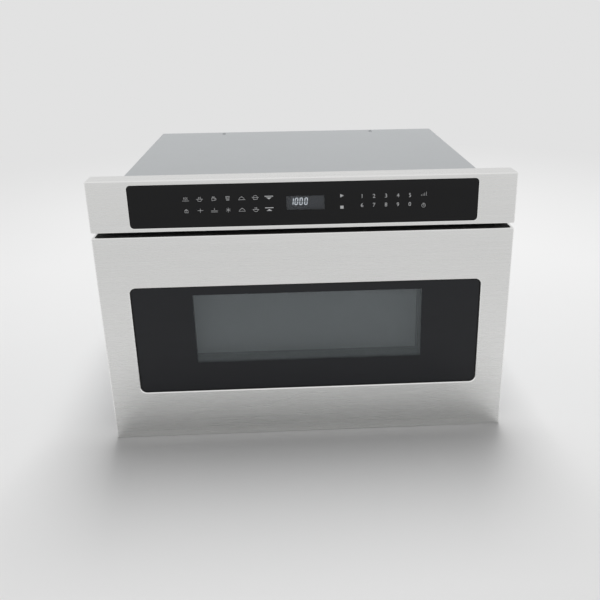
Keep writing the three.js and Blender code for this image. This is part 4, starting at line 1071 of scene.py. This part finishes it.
def turned(bm, profile, stand, count=32):
    """Turns a profile of (radius, height) about the Z axis of a frame, and returns its rings."""
    angles = [2 * math.pi * i / count for i in range(count)]
    rings = [
        [
            bm.verts.new(stand @ Vector((radius * math.cos(a), radius * math.sin(a), height)))
            for a in angles
        ]
        for radius, height in profile
    ]
    for near, far in zip(rings, rings[1:]):
        joined(bm, near, far)
    return rings


def pointing(at, way):
    """A frame at a point whose Z axis points that way."""
    turn = Vector(way).to_track_quat("Z", "Y").to_matrix().to_4x4()
    return Matrix.Translation(Vector(at)) @ turn


GLAND_BORE, BORE_BEVEL = 5.0, 0.7
GLAND_NECK, NECK_BEVEL = GLAND_HOLE - 0.3, 0.8
GLAND_COLLAR = 5.0
# The collar's rim, as how far inside the flange's radius and how far up, and its waist, as how far
# outside the neck's radius and how far up
COLLAR_RIM = ((0, 0), (0, 1.8), (0.8, 2.6))
COLLAR_WAIST = (1.2, 3.0)
# A groove round the neck: how deep it is, and how far up
GROOVE = ((0, 0), (0.7, 0.5), (0.7, 1.1), (0, 1.6))
GROOVE_COUNT, GROOVE_PITCH, GROOVE_START = 3, 2.2, 2.0


def make_gland():
    """A strain relief: a stepped collar outside the rear panel and a grooved neck through it."""
    bore, neck = GLAND_BORE, GLAND_NECK
    flange = (GLAND_X[1] - GLAND_X[0]) / 2
    end = GLAND_Y[1] - GLAND_Y[0]
    wall = end - GLAND_COLLAR
    profile = [(bore, 0.0), (neck - NECK_BEVEL, 0.0), (neck, NECK_BEVEL)]
    for i in range(GROOVE_COUNT):
        z = GROOVE_START + GROOVE_PITCH * i
        profile += [(neck - deep, z + up) for deep, up in GROOVE]
    profile.append((neck, wall))
    profile += [(flange - inside, wall + up) for inside, up in COLLAR_RIM]
    profile.append((neck + COLLAR_WAIST[0], wall + COLLAR_WAIST[1]))
    profile += [(neck, end - NECK_BEVEL), (neck - NECK_BEVEL, end)]
    profile += [(bore + BORE_BEVEL, end), (bore, end - BORE_BEVEL)]
    bm = bmesh.new()
    rings = turned(bm, profile, pointing((GLAND_AT[0], GLAND_Y[0], GLAND_AT[1]), (0, 1, 0)))
    joined(bm, rings[-1], rings[0])
    piece_from("cord_collar", bm, "body", [BLACK], ["cord_gland"])


SCREW_RADIUS = 3.4
# A screw's head as shares of its radius, and its side as shares of its radius and its rise
SCREW_RISE, SCREW_SLOT, SCREW_RECESS, SCREW_ARM = 0.62, 0.2, 0.35, 0.5
SCREW_SIDE = ((1.0, 0.0), (1.0, 0.25), (0.86, 0.7), (0.62, 0.92))
RECESS_TAPER = 0.7


def screw_into(bm, at, way):
    """A pan head with a cross recess."""
    stand = pointing(at, way)
    rise, slot = SCREW_RISE * SCREW_RADIUS, SCREW_SLOT * SCREW_RADIUS
    arm, deep = SCREW_ARM * SCREW_RADIUS, SCREW_RECESS * SCREW_RADIUS
    profile = [(across * SCREW_RADIUS, up * rise) for across, up in SCREW_SIDE]
    cross = [
        (arm, slot), (slot, slot), (slot, arm), (-slot, arm), (-slot, slot), (-arm, slot),
        (-arm, -slot), (-slot, -slot), (-slot, -arm), (slot, -arm), (slot, -slot), (arm, -slot),
    ]
    count = len(cross)
    rings = turned(bm, profile, stand, 2 * count)
    rim = [bm.verts.new(stand @ Vector((a, b, rise))) for a, b in cross]
    floor = [
        bm.verts.new(stand @ Vector((a * RECESS_TAPER, b * RECESS_TAPER, rise - deep)))
        for a, b in cross
    ]
    edge = rings[-1]
    for i in range(count):
        j = (i + 1) % count
        bm.faces.new((edge[2 * i], edge[2 * i + 1], edge[2 * j], rim[j], rim[i]))
        bm.faces.new((rim[i], rim[j], floor[j], floor[i]))
    bm.faces.new(floor)
    bm.faces.new(rings[0])


SIDE_SCREWS_Y, SIDE_SCREWS_Z = (-262, -90, 90, 262), 8.0
REAR_SCREWS_X, REAR_SCREWS_Z = PANEL_X[1] - 13, (30, 190, 350)
TOP_SCREWS_X, TOP_SCREWS_Y = 150.0, (-255, 255)


def make_screws():
    bm = bmesh.new()
    for side in (-1, 1):
        for y in SIDE_SCREWS_Y:
            screw_into(bm, (side * CASE_X[1], y, SIDE_SCREWS_Z), (side, 0, 0))
        for z in REAR_SCREWS_Z:
            screw_into(bm, (side * REAR_SCREWS_X, PANEL_Y[1], z), (0, 1, 0))
        for y in TOP_SCREWS_Y:
            screw_into(bm, (side * TOP_SCREWS_X, y, CASE_Z[1]), (0, 0, 1))
    piece_from("case_screws", bm, "body", [ZINC], smooth=30)


# -------------------------------------------------- studio, in metres

FLOOR_Z = DRAWER_Z[0] * MM
FLOOR_HALF = 30.0
PAPER_NEAR, PAPER_FAR = 0.9, 2.6
BACKDROP = (0.76, 0.76, 0.76, 1)
SKY_LIGHT = 0.29
LAMP_AT, LAMP_TARGET = Vector((0.2, 1.4, 4.0)), Vector((0.1, 0.2, 0.0))
LAMP_SIZE, LAMP_POWER = (1.9, 2.9), 160


def seen_rays(tree):
    """1 where the camera sees a surface straight, in a reflection or through glass, else 0."""
    path = tree.nodes.new("ShaderNodeLightPath")
    total = path.outputs["Is Camera Ray"]
    for name in ("Is Glossy Ray", "Is Transmission Ray"):
        either = tree.nodes.new("ShaderNodeMath")
        either.operation = "MAXIMUM"
        tree.links.new(total, either.inputs[0])
        tree.links.new(path.outputs[name], either.inputs[1])
        total = either.outputs[0]
    return total


def mixed_into(tree, output, *sources):
    """Feeds an output with a mix of two shaders: the share, the first and the second."""
    mix = tree.nodes.new("ShaderNodeMixShader")
    for socket, source in zip(mix.inputs, sources):
        tree.links.new(source, socket)
    tree.links.new(mix.outputs[0], tree.nodes[output].inputs["Surface"])


def make_floor():
    """Pale paper. Far from the object it turns into an even backdrop, for the eye only."""
    paper = Shader("floor", (0.8, 0.8, 0.8), roughness=0.8, Specular_IOR_Level=0.2)
    paper.paint(paper.noise(1.5), dark=0.99, light=1.01)
    away = paper.node("VectorMath", {"operation": "LENGTH"})
    paper.feed(away.inputs[0], paper.node("TexCoord").outputs["Object"])
    far = paper.spread(away.outputs["Value"], 0.0, 1.0, PAPER_NEAR, PAPER_FAR)
    backdrop = paper.node("Emission", Color=BACKDROP, Strength=1.0)
    share = paper.math("MULTIPLY", far, seen_rays(paper.tree))
    mixed_into(
        paper.tree, "Material Output", share, paper.surface.outputs[0], backdrop.outputs[0],
    )
    mesh = bpy.data.meshes.new("floor")
    corners = [
        (x * FLOOR_HALF, y * FLOOR_HALF, FLOOR_Z) for x, y in ((-1, -1), (1, -1), (1, 1), (-1, 1))
    ]
    mesh.from_pydata(corners, [], [(0, 1, 2, 3)])
    mesh.materials.append(paper.material)
    floor = bpy.data.objects.new("floor", mesh)
    scene.collection.objects.link(floor)


def make_world():
    world = bpy.data.worlds.new("studio")
    scene.world = world
    world.use_nodes = True
    tree = world.node_tree
    light = tree.nodes["Background"]
    light.inputs["Color"].default_value = (1, 1, 1, 1)
    light.inputs["Strength"].default_value = SKY_LIGHT
    backdrop = tree.nodes.new("ShaderNodeBackground")
    backdrop.inputs["Color"].default_value = BACKDROP
    mixed_into(tree, "World Output", seen_rays(tree), light.outputs[0], backdrop.outputs[0])


def make_lamp():
    """One large soft lamp, which shows in no reflection."""
    data = bpy.data.lights.new("overhead", "AREA")
    data.shape = "RECTANGLE"
    data.size, data.size_y = LAMP_SIZE
    data.energy = LAMP_POWER
    lamp = bpy.data.objects.new("overhead", data)
    scene.collection.objects.link(lamp)
    lamp.visible_glossy = False
    turn = (LAMP_TARGET - LAMP_AT).to_track_quat("-Z", "Y").to_matrix().to_4x4()
    lamp.matrix_world = Matrix.Translation(LAMP_AT) @ turn


make_front()
make_shadow_line()
make_gap_shade_strip()
make_glass()
make_signs()
make_digits()
make_clock()
make_case()
make_rear()
make_tub()
make_tray()
make_gland()
make_screws()
make_floor()
make_world()
make_lamp()
scene.view_settings.view_transform = "Standard"

bpy.context.view_layer.update()
